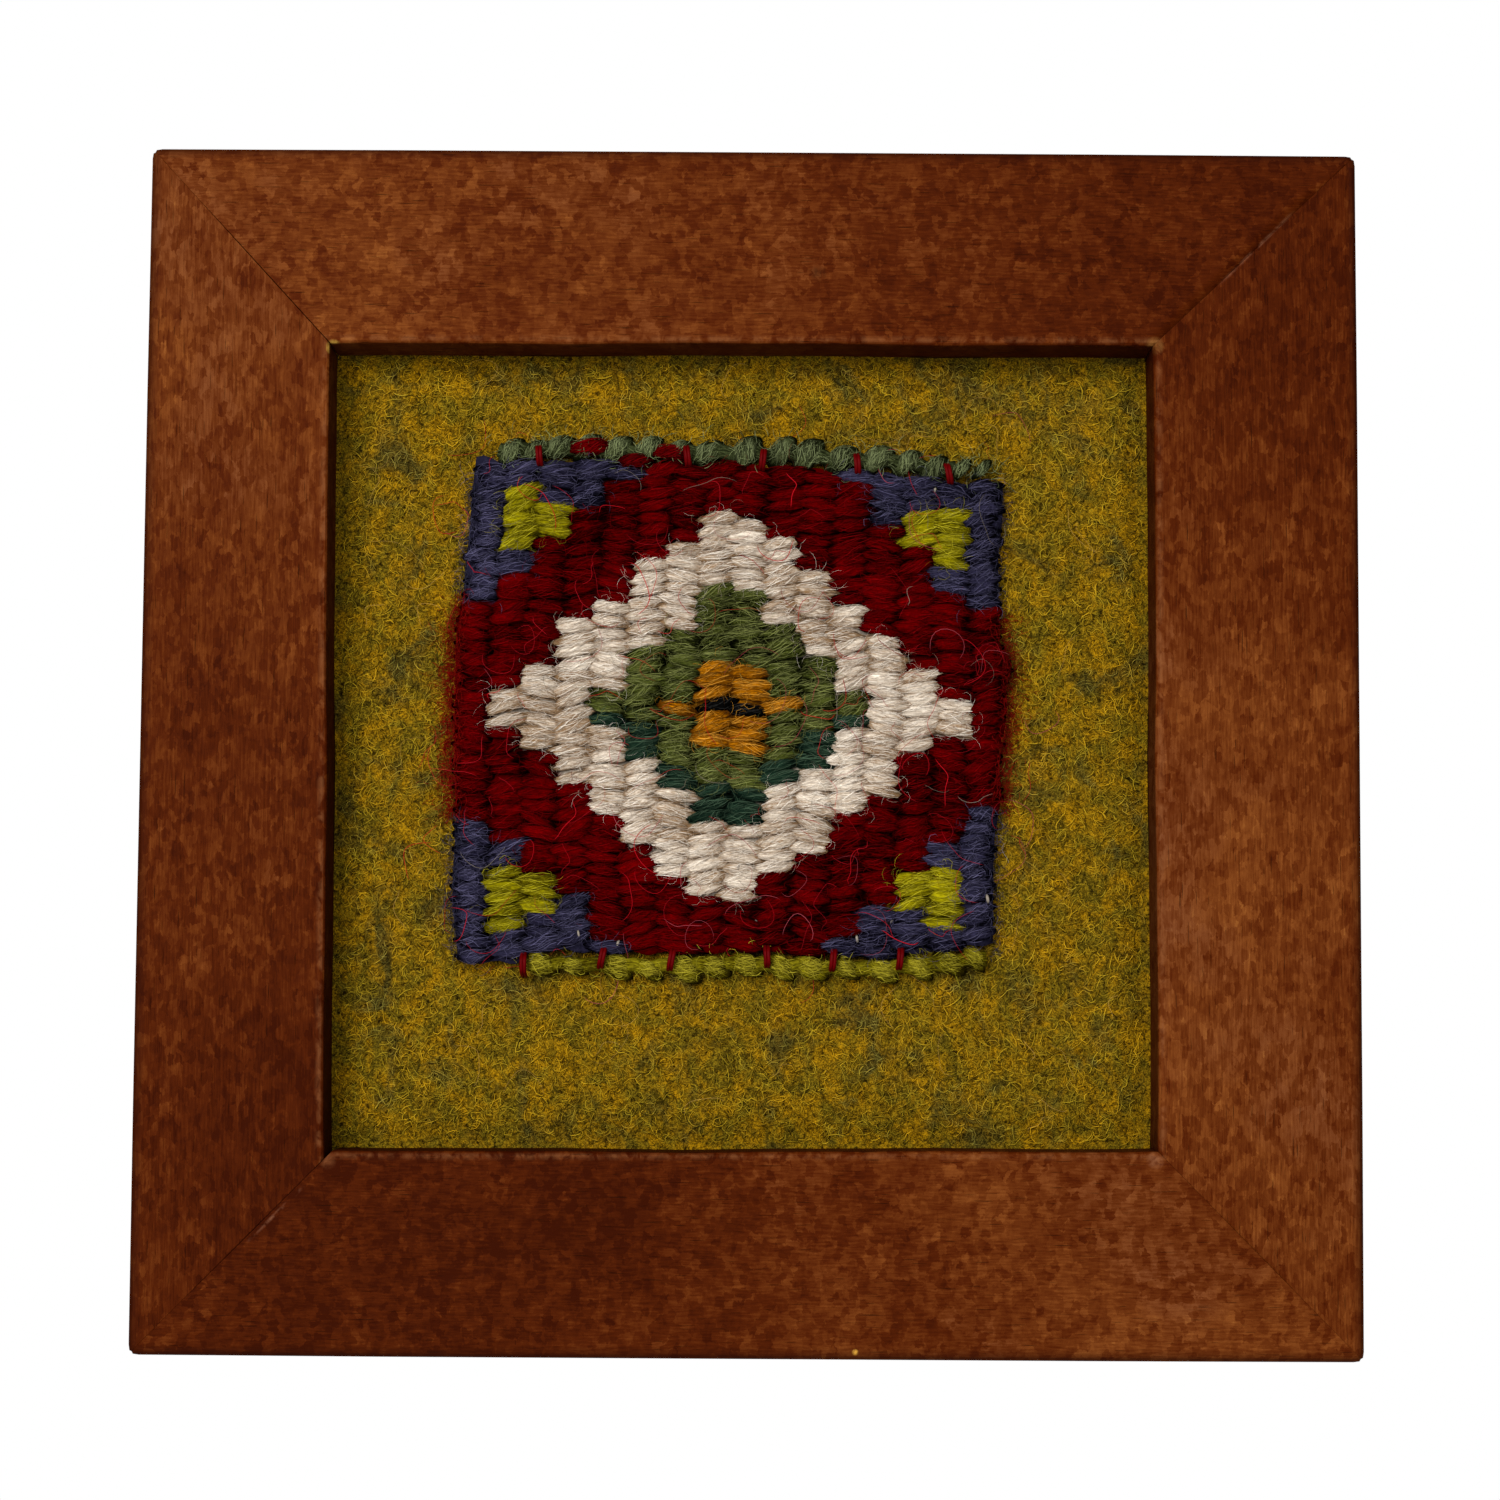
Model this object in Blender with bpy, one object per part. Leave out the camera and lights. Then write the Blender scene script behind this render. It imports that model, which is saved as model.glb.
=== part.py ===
"""A small weft-faced tapestry, sewn on a felt ground and set in a mitred wooden frame.

Metres, +Z up. The front faces -Y and the wall is the plane y = 0. The origin is the middle of
the top rail's lower back edge, which a nail or hook in the wall holds up.
"""

import math
from collections import namedtuple

import bmesh
import bpy
from mathutils import Vector, noise

MM = 0.001

# Fits
TOUCH_GAP = 0.3 * MM
RABBET_CLEARANCE = 0.6 * MM

# Frame
FRAME_WIDTH = 152.4 * MM
FRAME_HEIGHT = 151.2 * MM
FRAME_DEPTH = 19.0 * MM
LIP_DEPTH = 8.2 * MM
RABBET_WIDTH = 5.0 * MM
OUTER_EDGE_RADIUS = 1.0 * MM
INNER_EDGE_RADIUS = 0.6 * MM
CORNER_RADIUS = 1.2 * MM
ARC_STEPS = 3
RAIL_STATIONS = 13
RAIL_END_SHARE = 0.03

# The hand-planed inner edge wanders as two waves along the rail.
EDGE_WAVE = 0.12 * MM
Wave = namedtuple("Wave", "turns height")
EDGE_WAVES = (Wave(1.75, 1.0), Wave(4.3, 0.5))

# Each rail's width at its two ends, its turn about Y and how its inner edge waves.
# Seen from the front the bottom rail starts at the left, and the others follow anticlockwise.
Rail = namedtuple("Rail", "name length start_width end_width turn_deg wave_phase")
RAILS = (
    Rail("frame_bottom", FRAME_WIDTH, 25.2 * MM, 25.7 * MM, 0, 0.0),
    Rail("frame_right", FRAME_HEIGHT, 25.4 * MM, 25.7 * MM, -90, 1.7),
    Rail("frame_top", FRAME_WIDTH, 24.6 * MM, 24.9 * MM, 180, 3.1),
    Rail("frame_left", FRAME_HEIGHT, 22.9 * MM, 23.8 * MM, 90, 4.4),
)
BOTTOM_RAIL, RIGHT_RAIL, TOP_RAIL, LEFT_RAIL = RAILS

# The aperture, as the rails' widest ends leave it, from the frame's centre.
APERTURE_LEFT = max(LEFT_RAIL.start_width, LEFT_RAIL.end_width) - FRAME_WIDTH / 2
APERTURE_RIGHT = FRAME_WIDTH / 2 - max(RIGHT_RAIL.start_width, RIGHT_RAIL.end_width)
APERTURE_BOTTOM = max(BOTTOM_RAIL.start_width, BOTTOM_RAIL.end_width) - FRAME_HEIGHT / 2
APERTURE_TOP = FRAME_HEIGHT / 2 - max(TOP_RAIL.start_width, TOP_RAIL.end_width)
TOP_RAIL_MIDDLE = (TOP_RAIL.start_width + TOP_RAIL.end_width) / 2
CENTRE_BELOW_ORIGIN = FRAME_HEIGHT / 2 - (TOP_RAIL_MIDDLE - RABBET_WIDTH)

# Felt ground
FELT_THICKNESS = 3.0 * MM
FELT_PUFF = 0.8 * MM
FELT_ROLL = 4.0 * MM
FELT_HALF_ROLL = 1.6 * MM
FELT_LUMP = 0.15 * MM
FELT_LUMP_SIZE = 9.0 * MM
FELT_CELLS = 16
FELT_FRONT_Y = -(FRAME_DEPTH - LIP_DEPTH) + TOUCH_GAP

# Tapestry panel
WARPS = 16
STATIONS_PER_WARP = 4
PANEL_ROWS = 20
PANEL_THICKNESS = 2.9 * MM
RIB_RISE = 0.5 * MM
EDGE_THICKNESS_SHARE = 0.6
EDGE_ROUNDING = 2.2 * MM
SCALLOP = 0.25 * MM
WARP_WANDER = 0.3 * MM
WANDER_RADIANS_UP = 6
WANDER_RADIANS_ACROSS = 9
PANEL_BACK_Y = FELT_FRONT_Y - FELT_PUFF - TOUCH_GAP

# The panel's uneven edges in millimetres from the frame's centre: how far along the edge a
# point lies, and where the edge is there.
EdgePoint = namedtuple("EdgePoint", "along at")
LEFT_EDGE = (
    EdgePoint(-27.0, -36.7),
    EdgePoint(-19.0, -37.5),
    EdgePoint(-9.0, -37.1),
    EdgePoint(1.0, -37.5),
    EdgePoint(13.5, -37.4),
    EdgePoint(18.5, -36.5),
    EdgePoint(29.5, -35.7),
    EdgePoint(37.4, -35.0),
)
RIGHT_EDGE = (
    EdgePoint(-24.4, 30.8),
    EdgePoint(-16.0, 30.9),
    EdgePoint(-7.0, 31.9),
    EdgePoint(-2.5, 31.4),
    EdgePoint(4.5, 32.7),
    EdgePoint(7.5, 32.1),
    EdgePoint(11.0, 33.3),
    EdgePoint(15.0, 31.6),
    EdgePoint(27.0, 31.4),
    EdgePoint(34.4, 32.0),
)
BOTTOM_EDGE = (
    EdgePoint(-37.0, -26.8),
    EdgePoint(-29.5, -27.0),
    EdgePoint(-26.5, -25.4),
    EdgePoint(-12.0, -25.7),
    EdgePoint(2.0, -25.4),
    EdgePoint(14.0, -25.9),
    EdgePoint(23.0, -25.3),
    EdgePoint(31.0, -24.2),
)
TOP_EDGE = (
    EdgePoint(-35.0, 37.4),
    EdgePoint(-31.0, 36.5),
    EdgePoint(-21.0, 36.9),
    EdgePoint(-12.0, 36.4),
    EdgePoint(4.0, 36.3),
    EdgePoint(12.0, 35.6),
    EdgePoint(18.0, 35.4),
    EdgePoint(24.0, 34.3),
    EdgePoint(32.0, 34.4),
)

# Twined cords along the top and the foot of the panel, from one end to the other
Cord = namedtuple("Cord", "name edge side start end")
CORDS = (
    Cord("header_cord", TOP_EDGE, 1, -32.5 * MM, 26.2 * MM),
    Cord("footer_cord", BOTTOM_EDGE, -1, -27.6 * MM, 30.2 * MM),
)
CORD_RADIUS = 1.25 * MM
CORD_SIDES = 8
CORD_LUMP = 4.2 * MM
STATIONS_PER_LUMP = 5
STRAND_NARROW = 0.62
CORD_END_TAPER = 0.6
CORD_FROM_BACK = 1.35 * MM

SHARP_ANGLE_DEG = 35

# Colours are linear red, green and blue.
Finish = namedtuple("Finish", "name colour roughness")
STAINED_WOOD = Finish("stained_wood", (0.107, 0.026, 0.010), 0.45)
MOTTLED_FELT = Finish("mottled_felt", (0.195, 0.117, 0.008), 0.95)
RED_WOOL = Finish("red_wool", (0.188, 0.004, 0.006), 0.9)
GREEN_WOOL = Finish("green_wool", (0.098, 0.133, 0.065), 0.9)
YELLOW_WOOL = Finish("yellow_green_wool", (0.323, 0.314, 0.012), 0.9)
CORD_FINISHES = {"header_cord": GREEN_WOOL, "footer_cord": YELLOW_WOOL}


def clear_scene():
    for obj in list(bpy.data.objects):
        bpy.data.objects.remove(obj, do_unlink=True)


def mix(start, end, share):
    return start + (end - start) * share


def smooth_share(share):
    share = min(max(share, 0.0), 1.0)
    return share * share * (3 - 2 * share)


def along_table(table, along):
    """The table's value at a place along its edge, both in metres, with smooth steps between."""
    place = along / MM
    if place <= table[0].along:
        return table[0].at * MM
    for low, high in zip(table, table[1:]):
        if place <= high.along:
            share = (place - low.along) / (high.along - low.along)
            return mix(low.at, high.at, smooth_share(share)) * MM
    return table[-1].at * MM


def material_of(finish):
    material = bpy.data.materials.new(finish.name)
    material.use_nodes = True
    shader = material.node_tree.nodes["Principled BSDF"]
    shader.inputs["Base Color"].default_value = (*finish.colour, 1.0)
    shader.inputs["Roughness"].default_value = finish.roughness
    shader.inputs["Metallic"].default_value = 0.0
    material.diffuse_color = (*finish.colour, 1.0)
    return material


def finished_object(name, work, material, parent):
    """The mesh as an object of its own, with its faces turned outwards and round parts smooth."""
    bmesh.ops.recalc_face_normals(work, faces=work.faces)
    mesh = bpy.data.meshes.new(name)
    work.to_mesh(mesh)
    work.free()
    mesh.shade_smooth()
    mesh.set_sharp_from_angle(angle=math.radians(SHARP_ANGLE_DEG))
    mesh.materials.append(material)
    obj = bpy.data.objects.new(name, mesh)
    bpy.context.scene.collection.objects.link(obj)
    obj.parent = parent
    return obj


def joined_rings(rings):
    """One closed body from rings of points: quads between neighbours and a face at each end."""
    work = bmesh.new()
    loops = [[work.verts.new(point) for point in ring] for ring in rings]
    for low, high in zip(loops, loops[1:]):
        for side in range(len(low)):
            after = (side + 1) % len(low)
            work.faces.new((low[side], low[after], high[after], high[side]))
    work.faces.new(loops[0])
    work.faces.new(loops[-1])
    return work


def arc(centre_inset, centre_y, radius, start_deg, end_deg):
    """Points of an arc in the rail's section."""
    for step in range(ARC_STEPS + 1):
        angle = math.radians(mix(start_deg, end_deg, step / ARC_STEPS))
        yield centre_inset + radius * math.cos(angle), centre_y + radius * math.sin(angle)


def rail_section(width, rabbet_from):
    """(inset from the outer edge, y) round the rail's section, from its outer back edge."""
    front = -FRAME_DEPTH
    outer_centre_y = front + OUTER_EDGE_RADIUS
    inner_centre_y = front + INNER_EDGE_RADIUS
    section = [(0.0, 0.0)]
    section += arc(OUTER_EDGE_RADIUS, outer_centre_y, OUTER_EDGE_RADIUS, 180, 270)
    section += arc(width - INNER_EDGE_RADIUS, inner_centre_y, INNER_EDGE_RADIUS, 270, 360)
    section += [(width, front + LIP_DEPTH)]
    section += [(rabbet_from, front + LIP_DEPTH), (rabbet_from, 0.0)]
    return section


def rounded_corner(from_end):
    """How far the outer edge draws in near a mitre, as the frame's corner is rounded."""
    mitre_share = 1 - math.sqrt(0.5)
    share = from_end / CORNER_RADIUS + mitre_share
    if share >= 1:
        return 0.0
    return CORNER_RADIUS * (1 - math.sqrt(1 - (1 - share) ** 2))


def rail_shares(length):
    """Places along a rail, as shares of its length, closer together at its rounded ends."""
    near = [0.0, CORNER_RADIUS / 3 / length, CORNER_RADIUS / length]
    steps = RAIL_STATIONS - 1
    middle = [mix(RAIL_END_SHARE, 1 - RAIL_END_SHARE, step / steps) for step in range(steps + 1)]
    return near + middle + [1 - share for share in reversed(near)]


def edge_wave(share, phase):
    """How far the inner edge wanders at a place along the rail, and not at all at its ends."""
    waves = (
        wave.height * math.sin(2 * math.pi * wave.turns * share + wave.turns * phase)
        for wave in EDGE_WAVES
    )
    return EDGE_WAVE * math.sin(math.pi * share) * sum(waves)


def rail_ring(rail, share):
    """One section of a rail in its own frame: length along X, inwards along Z."""
    mitre_shift = TOUCH_GAP / math.sqrt(2)
    straight = mix(rail.start_width, rail.end_width, share)
    width = straight + edge_wave(share, rail.wave_phase)
    drawn_in = rounded_corner(min(share, 1 - share) * rail.length)
    ring = []
    for inset, y in rail_section(width, straight - RABBET_WIDTH):
        inset += drawn_in * max(0.0, 1 - inset / (2 * CORNER_RADIUS))
        from_mitre = inset + mitre_shift
        x = mix(from_mitre, rail.length - from_mitre, share) - rail.length / 2
        ring.append((x, y, inset))
    return ring


def add_rail(rail, material, parent):
    work = joined_rings([rail_ring(rail, share) for share in rail_shares(rail.length)])
    obj = finished_object(rail.name, work, material, parent)
    turn = math.radians(rail.turn_deg)
    upright = abs(rail.turn_deg) == 90
    outwards = (FRAME_WIDTH if upright else FRAME_HEIGHT) / 2
    obj.rotation_euler = (0.0, turn, 0.0)
    obj.location = (-outwards * math.sin(turn), 0.0, -outwards * math.cos(turn))
    return obj


def felt_lines(start, end, hidden_before, hidden_after):
    """Grid lines across the felt, closer together where it rolls up from behind the lip."""
    low = start + hidden_before
    high = end - hidden_after
    inner_low = low + FELT_ROLL
    inner_high = high - FELT_ROLL
    lines = [start, low, low + FELT_HALF_ROLL]
    lines += [mix(inner_low, inner_high, step / FELT_CELLS) for step in range(FELT_CELLS + 1)]
    return lines + [high - FELT_HALF_ROLL, high, end]


def over_panel(x, z):
    """True where the panel and its cords lie on the felt, with a margin of one felt cell."""
    margin = (APERTURE_RIGHT - APERTURE_LEFT) / FELT_CELLS
    left = min(point.at for point in LEFT_EDGE) * MM - margin
    right = max(point.at for point in RIGHT_EDGE) * MM + margin
    bottom = min(point.at for point in BOTTOM_EDGE) * MM - margin
    top = max(point.at for point in TOP_EDGE) * MM + margin
    return left < x < right and bottom < z < top


def felt_y(x, z):
    """The felt's front: flat behind the lip, puffed up in the aperture, lumpy where it is bare."""
    from_edges = (x - APERTURE_LEFT, APERTURE_RIGHT - x, z - APERTURE_BOTTOM, APERTURE_TOP - z)
    puff = smooth_share(min(from_edges) / FELT_ROLL)
    lump = 0.0 if over_panel(x, z) else noise.noise(Vector((x, 0.0, z)) / FELT_LUMP_SIZE)
    return FELT_FRONT_Y - puff * (FELT_PUFF + FELT_LUMP * lump)


def slab_from_grid(front, back_y):
    """A closed slab: a grid of front points, a flat back under its rim and walls between."""
    work = bmesh.new()
    grid = [[work.verts.new(point) for point in row] for row in front]
    for low, high in zip(grid, grid[1:]):
        for left in range(len(low) - 1):
            work.faces.new((low[left], low[left + 1], high[left + 1], high[left]))
    rim = grid[0] + [row[-1] for row in grid[1:]]
    rim += grid[-1][-2::-1] + [row[0] for row in grid[-2:0:-1]]
    base = [work.verts.new((vert.co.x, back_y, vert.co.z)) for vert in rim]
    for place in range(len(rim)):
        after = (place + 1) % len(rim)
        work.faces.new((rim[place], rim[after], base[after], base[place]))
    work.faces.new(base)
    return work


def add_felt(material, parent):
    hidden = RABBET_WIDTH - RABBET_CLEARANCE
    columns = felt_lines(APERTURE_LEFT - hidden, APERTURE_RIGHT + hidden, hidden, hidden)
    rows = felt_lines(APERTURE_BOTTOM - hidden, APERTURE_TOP + hidden, hidden, hidden)
    front = [[(x, felt_y(x, z), z) for x in columns] for z in rows]
    work = slab_from_grid(front, FELT_FRONT_Y + FELT_THICKNESS)
    return finished_object("felt_ground", work, material, parent)


def scallop(x):
    """How far the weft stands out at a warp, and draws back between two warps."""
    pitch = (RIGHT_EDGE[0].at - LEFT_EDGE[0].at) * MM / WARPS
    return SCALLOP * math.cos(2 * math.pi * x / pitch)


def panel_point(across, up):
    """A point of the panel's ribbed front, from shares of its width and height."""
    rough_z = mix(BOTTOM_EDGE[0].at, TOP_EDGE[0].at, up) * MM
    left = along_table(LEFT_EDGE, rough_z)
    right = along_table(RIGHT_EDGE, rough_z)
    bend = math.sin(WANDER_RADIANS_UP * up + WANDER_RADIANS_ACROSS * across)
    x = mix(left, right, across) + WARP_WANDER * bend * math.sin(math.pi * across)
    bottom = along_table(BOTTOM_EDGE, x) - scallop(x)
    top = along_table(TOP_EDGE, x) + scallop(x)
    z = mix(bottom, top, up)
    from_edge = min(x - left, right - x, z - bottom, top - z)
    full = mix(EDGE_THICKNESS_SHARE, 1.0, math.sqrt(smooth_share(from_edge / EDGE_ROUNDING)))
    rib = abs(math.sin(math.pi * WARPS * across))
    thickness = (PANEL_THICKNESS - RIB_RISE * (1 - rib)) * full
    return x, PANEL_BACK_Y - thickness, z


def add_panel(material, parent):
    columns = WARPS * STATIONS_PER_WARP
    front = [
        [panel_point(column / columns, row / PANEL_ROWS) for column in range(columns + 1)]
        for row in range(PANEL_ROWS + 1)
    ]
    work = slab_from_grid(front, PANEL_BACK_Y)
    return finished_object("tapestry_panel", work, material, parent)


def cord_ring(cord, x, radius_share):
    """A section of a two-strand cord, which lies along its edge of the panel and turns."""
    clear = CORD_RADIUS + SCALLOP + TOUCH_GAP
    z = along_table(cord.edge, x) + cord.side * clear
    y = PANEL_BACK_Y - CORD_FROM_BACK
    strands_turn = math.pi * x / CORD_LUMP
    ring = []
    for side in range(CORD_SIDES):
        angle = 2 * math.pi * side / CORD_SIDES
        wide = math.cos(angle - strands_turn) ** 2
        radius = CORD_RADIUS * radius_share * mix(STRAND_NARROW, 1.0, wide)
        ring.append((x, y + radius * math.cos(angle), z + radius * math.sin(angle)))
    return ring


def add_cord(cord, material, parent):
    steps = round((cord.end - cord.start) / CORD_LUMP * STATIONS_PER_LUMP)
    rings = []
    for step in range(steps + 1):
        radius_share = CORD_END_TAPER if step in (0, steps) else 1.0
        rings.append(cord_ring(cord, mix(cord.start, cord.end, step / steps), radius_share))
    return finished_object(cord.name, joined_rings(rings), material, parent)


def build():
    clear_scene()
    centre = bpy.data.objects.new("frame_centre", None)
    centre.location = (0.0, 0.0, -CENTRE_BELOW_ORIGIN)
    bpy.context.scene.collection.objects.link(centre)
    wood = material_of(STAINED_WOOD)
    for rail in RAILS:
        add_rail(rail, wood, centre)
    add_felt(material_of(MOTTLED_FELT), centre)
    add_panel(material_of(RED_WOOL), centre)
    for cord in CORDS:
        add_cord(cord, material_of(CORD_FINISHES[cord.name]), centre)


build()
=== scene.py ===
"""Looks of a small framed tapestry: stained rails, hairy felt, woven wool, cords and thread."""

import math
from collections import namedtuple

import bpy
import numpy as np
from mathutils import Matrix, Vector


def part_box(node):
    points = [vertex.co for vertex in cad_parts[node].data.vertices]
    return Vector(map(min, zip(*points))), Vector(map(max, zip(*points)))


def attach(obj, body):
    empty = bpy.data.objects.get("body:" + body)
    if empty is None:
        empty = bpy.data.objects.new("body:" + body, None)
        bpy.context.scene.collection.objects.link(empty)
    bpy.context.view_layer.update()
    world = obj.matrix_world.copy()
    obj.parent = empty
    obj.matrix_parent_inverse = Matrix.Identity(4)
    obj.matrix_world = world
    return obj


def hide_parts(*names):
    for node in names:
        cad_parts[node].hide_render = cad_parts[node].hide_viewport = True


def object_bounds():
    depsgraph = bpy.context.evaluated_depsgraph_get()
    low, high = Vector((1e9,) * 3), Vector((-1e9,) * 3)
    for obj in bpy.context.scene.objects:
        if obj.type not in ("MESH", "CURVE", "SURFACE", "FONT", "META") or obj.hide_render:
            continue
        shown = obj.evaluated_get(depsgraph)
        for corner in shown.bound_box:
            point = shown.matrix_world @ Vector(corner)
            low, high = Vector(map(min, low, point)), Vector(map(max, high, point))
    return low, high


MM = 0.001
TURN = 2 * math.pi
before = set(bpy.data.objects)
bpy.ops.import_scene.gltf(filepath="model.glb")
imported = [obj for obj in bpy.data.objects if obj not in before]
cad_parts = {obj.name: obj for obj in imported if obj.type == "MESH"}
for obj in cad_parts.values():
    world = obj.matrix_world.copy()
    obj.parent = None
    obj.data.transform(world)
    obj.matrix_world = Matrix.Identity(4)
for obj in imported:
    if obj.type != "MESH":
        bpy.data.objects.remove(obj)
cad_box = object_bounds()

# The frame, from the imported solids
FRAME_LOW, FRAME_HIGH = cad_box
FRAME_FRONT = FRAME_LOW.y
CENTRE_Z = (FRAME_LOW.z + FRAME_HIGH.z) / 2
FRAME_HALF = np.array([FRAME_HIGH.x, (FRAME_HIGH.z - FRAME_LOW.z) / 2])
LEVEL_RAILS = ("frame_top", "frame_bottom")
UPRIGHT_RAILS = ("frame_left", "frame_right")
RAIL_NODES = LEVEL_RAILS + UPRIGHT_RAILS
MITRE_GAP = 0.15 * MM
MITRE_BLEND = 3.0 * MM
MITRE_REACH = 45 * MM
MITRE_OPENS = (9 * MM, 8 * MM)
LEAST_OPEN = 0.05
RAIL_CUTS = 4
# The rails' inner front edge is worn paler, a band that is also a painted highlight along the rounded
# edge
WEAR_AND_HIGHLIGHT_BANDS = (0.25 * MM, 0.6 * MM)
WEAR_AND_HIGHLIGHT_DEPTH = 0.5 * MM
# Painted shade: the rounded outer rim and the inner walls of the opening are coloured darker, where
# shade falls on them
RIM_BAND = 1.6 * MM
RIM_FADE = 1.1 * MM
RIM_START = 1.3
WALL_SHADE = 0.85
WALL_FADE = 0.3 * MM
FACE_DEPTH = 0.05 * MM
SLIDE_BLEND = 14 * MM
# At each corner: how far its rails stay apart towards the opening, and how fully their mitre
# runs to the opening's own corner
Corner = namedtuple("Corner", "level upright left_open drawn_in")
CORNERS = (
    Corner("frame_bottom", "frame_left", 0.02 * MM, 0.25),
    Corner("frame_bottom", "frame_right", 0.008 * MM, 0.9),
    Corner("frame_top", "frame_right", 0.004 * MM, 1.0),
    Corner("frame_top", "frame_left", 0.045 * MM, 0.95),
)
PLANE_WAVE = 0.05 * MM
PLANE_WAVE_SIZE = 14 * MM

# The felt, from its solid
FELT_LOW, FELT_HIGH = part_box("felt_ground")
FELT_BACK = FELT_HIGH.y
FELT_THICKNESS = 3.0 * MM
FELT_PUFF = 0.8 * MM
FELT_ROLL = 4.0 * MM
FELT_CELLS = 112
FELT_LUMPS = 0.16 * MM
FELT_LUMP_SIZE = 3.2 * MM
FELT_BACK_BAND = 1.4 * MM
FELT_FIBRES = 7400
APERTURE_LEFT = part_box("frame_left")[1].x
APERTURE_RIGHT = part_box("frame_right")[0].x
APERTURE_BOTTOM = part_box("frame_bottom")[1].z
APERTURE_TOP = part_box("frame_top")[0].z

# The weave, from its solid
WARPS = 16
ROWS = 39
PANEL_LOW, PANEL_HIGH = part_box("tapestry_panel")
PANEL_FRONT = PANEL_LOW.y
PANEL_BACK = PANEL_HIGH.y
WARP_PITCH = (PANEL_HIGH.x - PANEL_LOW.x) / WARPS * 0.97
ROW_PITCH = (PANEL_HIGH.z - PANEL_LOW.z) / ROWS * 0.985
CORE_THICKNESS = 1.0 * MM
CORE_DEPTH = 1.25 * MM
RIB_DEPTH = 0.75 * MM

# Weft floats: each passes over one warp and dips behind its neighbours.
FLOAT_HALF_LENGTH = 0.88 * WARP_PITCH
FLOAT_RADIUS = 0.64 * ROW_PITCH
FLOAT_DIP = 1.15 * MM
OUTER_SHIFT = 0.35 * MM
OUTER_SHORTER = 0.76
FLOAT_SLANT_DEG = 8

# Yarn: its form, and how its fibres turn, stray and fall into shade where it dips
YARN_FLATNESS = 0.82
YARN_SIDES = 8
LUMP_STATIONS = 8
LUMP_LOBE = 0.22
LOBE_LENGTH = 3.6 * MM
DIP_POWER = 2.6
WOVEN_TAPER = (1.9, 0.8)
CORD_TAPER = (2.2, 0.6)
LEAST_GIRTH = 0.26
FIBRE_STATIONS = 5
FIBRE_RADIUS = 0.04 * MM
FIBRE_TURN = 1.1
WOVEN_LOOSE = 0.4
CORD_LOOSE = 0.18
YARN_PAST_EDGE = 0.3 * MM
FIBRE_PAST_EDGE = 0.5 * MM
HOLLOW_START = 0.5
HOLLOW_DEPTH = 1.15
YARN_SHADE = 1.7
FIBRE_SHADE = 1.2

# Hairs: loose fibres on the felt and the yarn, and longer strays
HAIR_SIDES = 3
SHORT_STATIONS = 5
STRAY_STATIONS = 14

# The design: stepped diamonds inside each other, with stepped corners. A warp is one step.
ROWS_PER_STEP = 2.4
DARK_HEART = 0.8
ORANGE_HEART = 1.9
GREEN_DIAMOND = 4.3
TEAL_EDGE = 3.2
IVORY_DIAMOND = 7.1
CORNER_STEPS = 5.1
CORNER_SPOT_AT = (6.1, 15.0)
CORNER_SPOT = 1.3

# Each yarn: its colours, how many fibres are wound round a float and how many stand off it,
# and the radius of those in millimetres
Yarn = namedtuple("Yarn", "name dark light hair fibres loose loose_radius", defaults=[0.0155])
YARNS = (
    Yarn("red", "#120000", "#720002", "#7a0206", 15, 6),
    Yarn("ivory", "#86694a", "#fff4e2", "#fff6e8", 28, 16, 0.0105),
    Yarn("olive", "#060801", "#5f672a", "#8e9452", 30, 16),
    Yarn("teal", "#06100b", "#233a2b", "#4a624c", 28, 12),
    Yarn("navy", "#06050c", "#393650", "#625e7e", 26, 14),
    Yarn("yellow_green", "#423a02", "#b2a60c", "#c8bc28", 28, 10),
    Yarn("orange", "#542c02", "#de8a0c", "#f0a838", 28, 10),
    Yarn("charcoal", "#030303", "#141413", "#363533", 24, 6),
)


def linear(code):
    """A #rrggbb screen colour as linear red, green, blue and alpha."""
    parts = [int(code[place:place + 2], 16) / 255 for place in (1, 3, 5)]
    parts = [v / 12.92 if v <= 0.04045 else ((v + 0.055) / 1.055) ** 2.4 for v in parts]
    return (*parts, 1.0)


class Socket:
    """An output of a material's node. Arithmetic on it adds Math nodes."""

    def __init__(self, paint, output):
        self.paint = paint
        self.output = output

    def math(self, operation, *values, clamp=False):
        settings = {"operation": operation, "use_clamp": clamp}
        return self.paint.node("ShaderNodeMath", settings, dict(enumerate(values)))

    def __add__(self, other):
        return self.math("ADD", self, other)

    def __radd__(self, other):
        return self.math("ADD", other, self)

    def __sub__(self, other):
        return self.math("SUBTRACT", self, other)

    def __rsub__(self, other):
        return self.math("SUBTRACT", other, self)

    def __mul__(self, other):
        return self.math("MULTIPLY", self, other)

    def __rmul__(self, other):
        return self.math("MULTIPLY", other, self)

    def __truediv__(self, other):
        return self.math("DIVIDE", self, other)

    def __abs__(self):
        return self.math("ABSOLUTE", self)

    def clamped(self):
        return self.math("ADD", self, 0.0, clamp=True)

    def above(self, edge, width):
        """0 below the edge and 1 from a width above it, with a soft step between."""
        return ((self - edge) / width).clamped()


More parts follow.
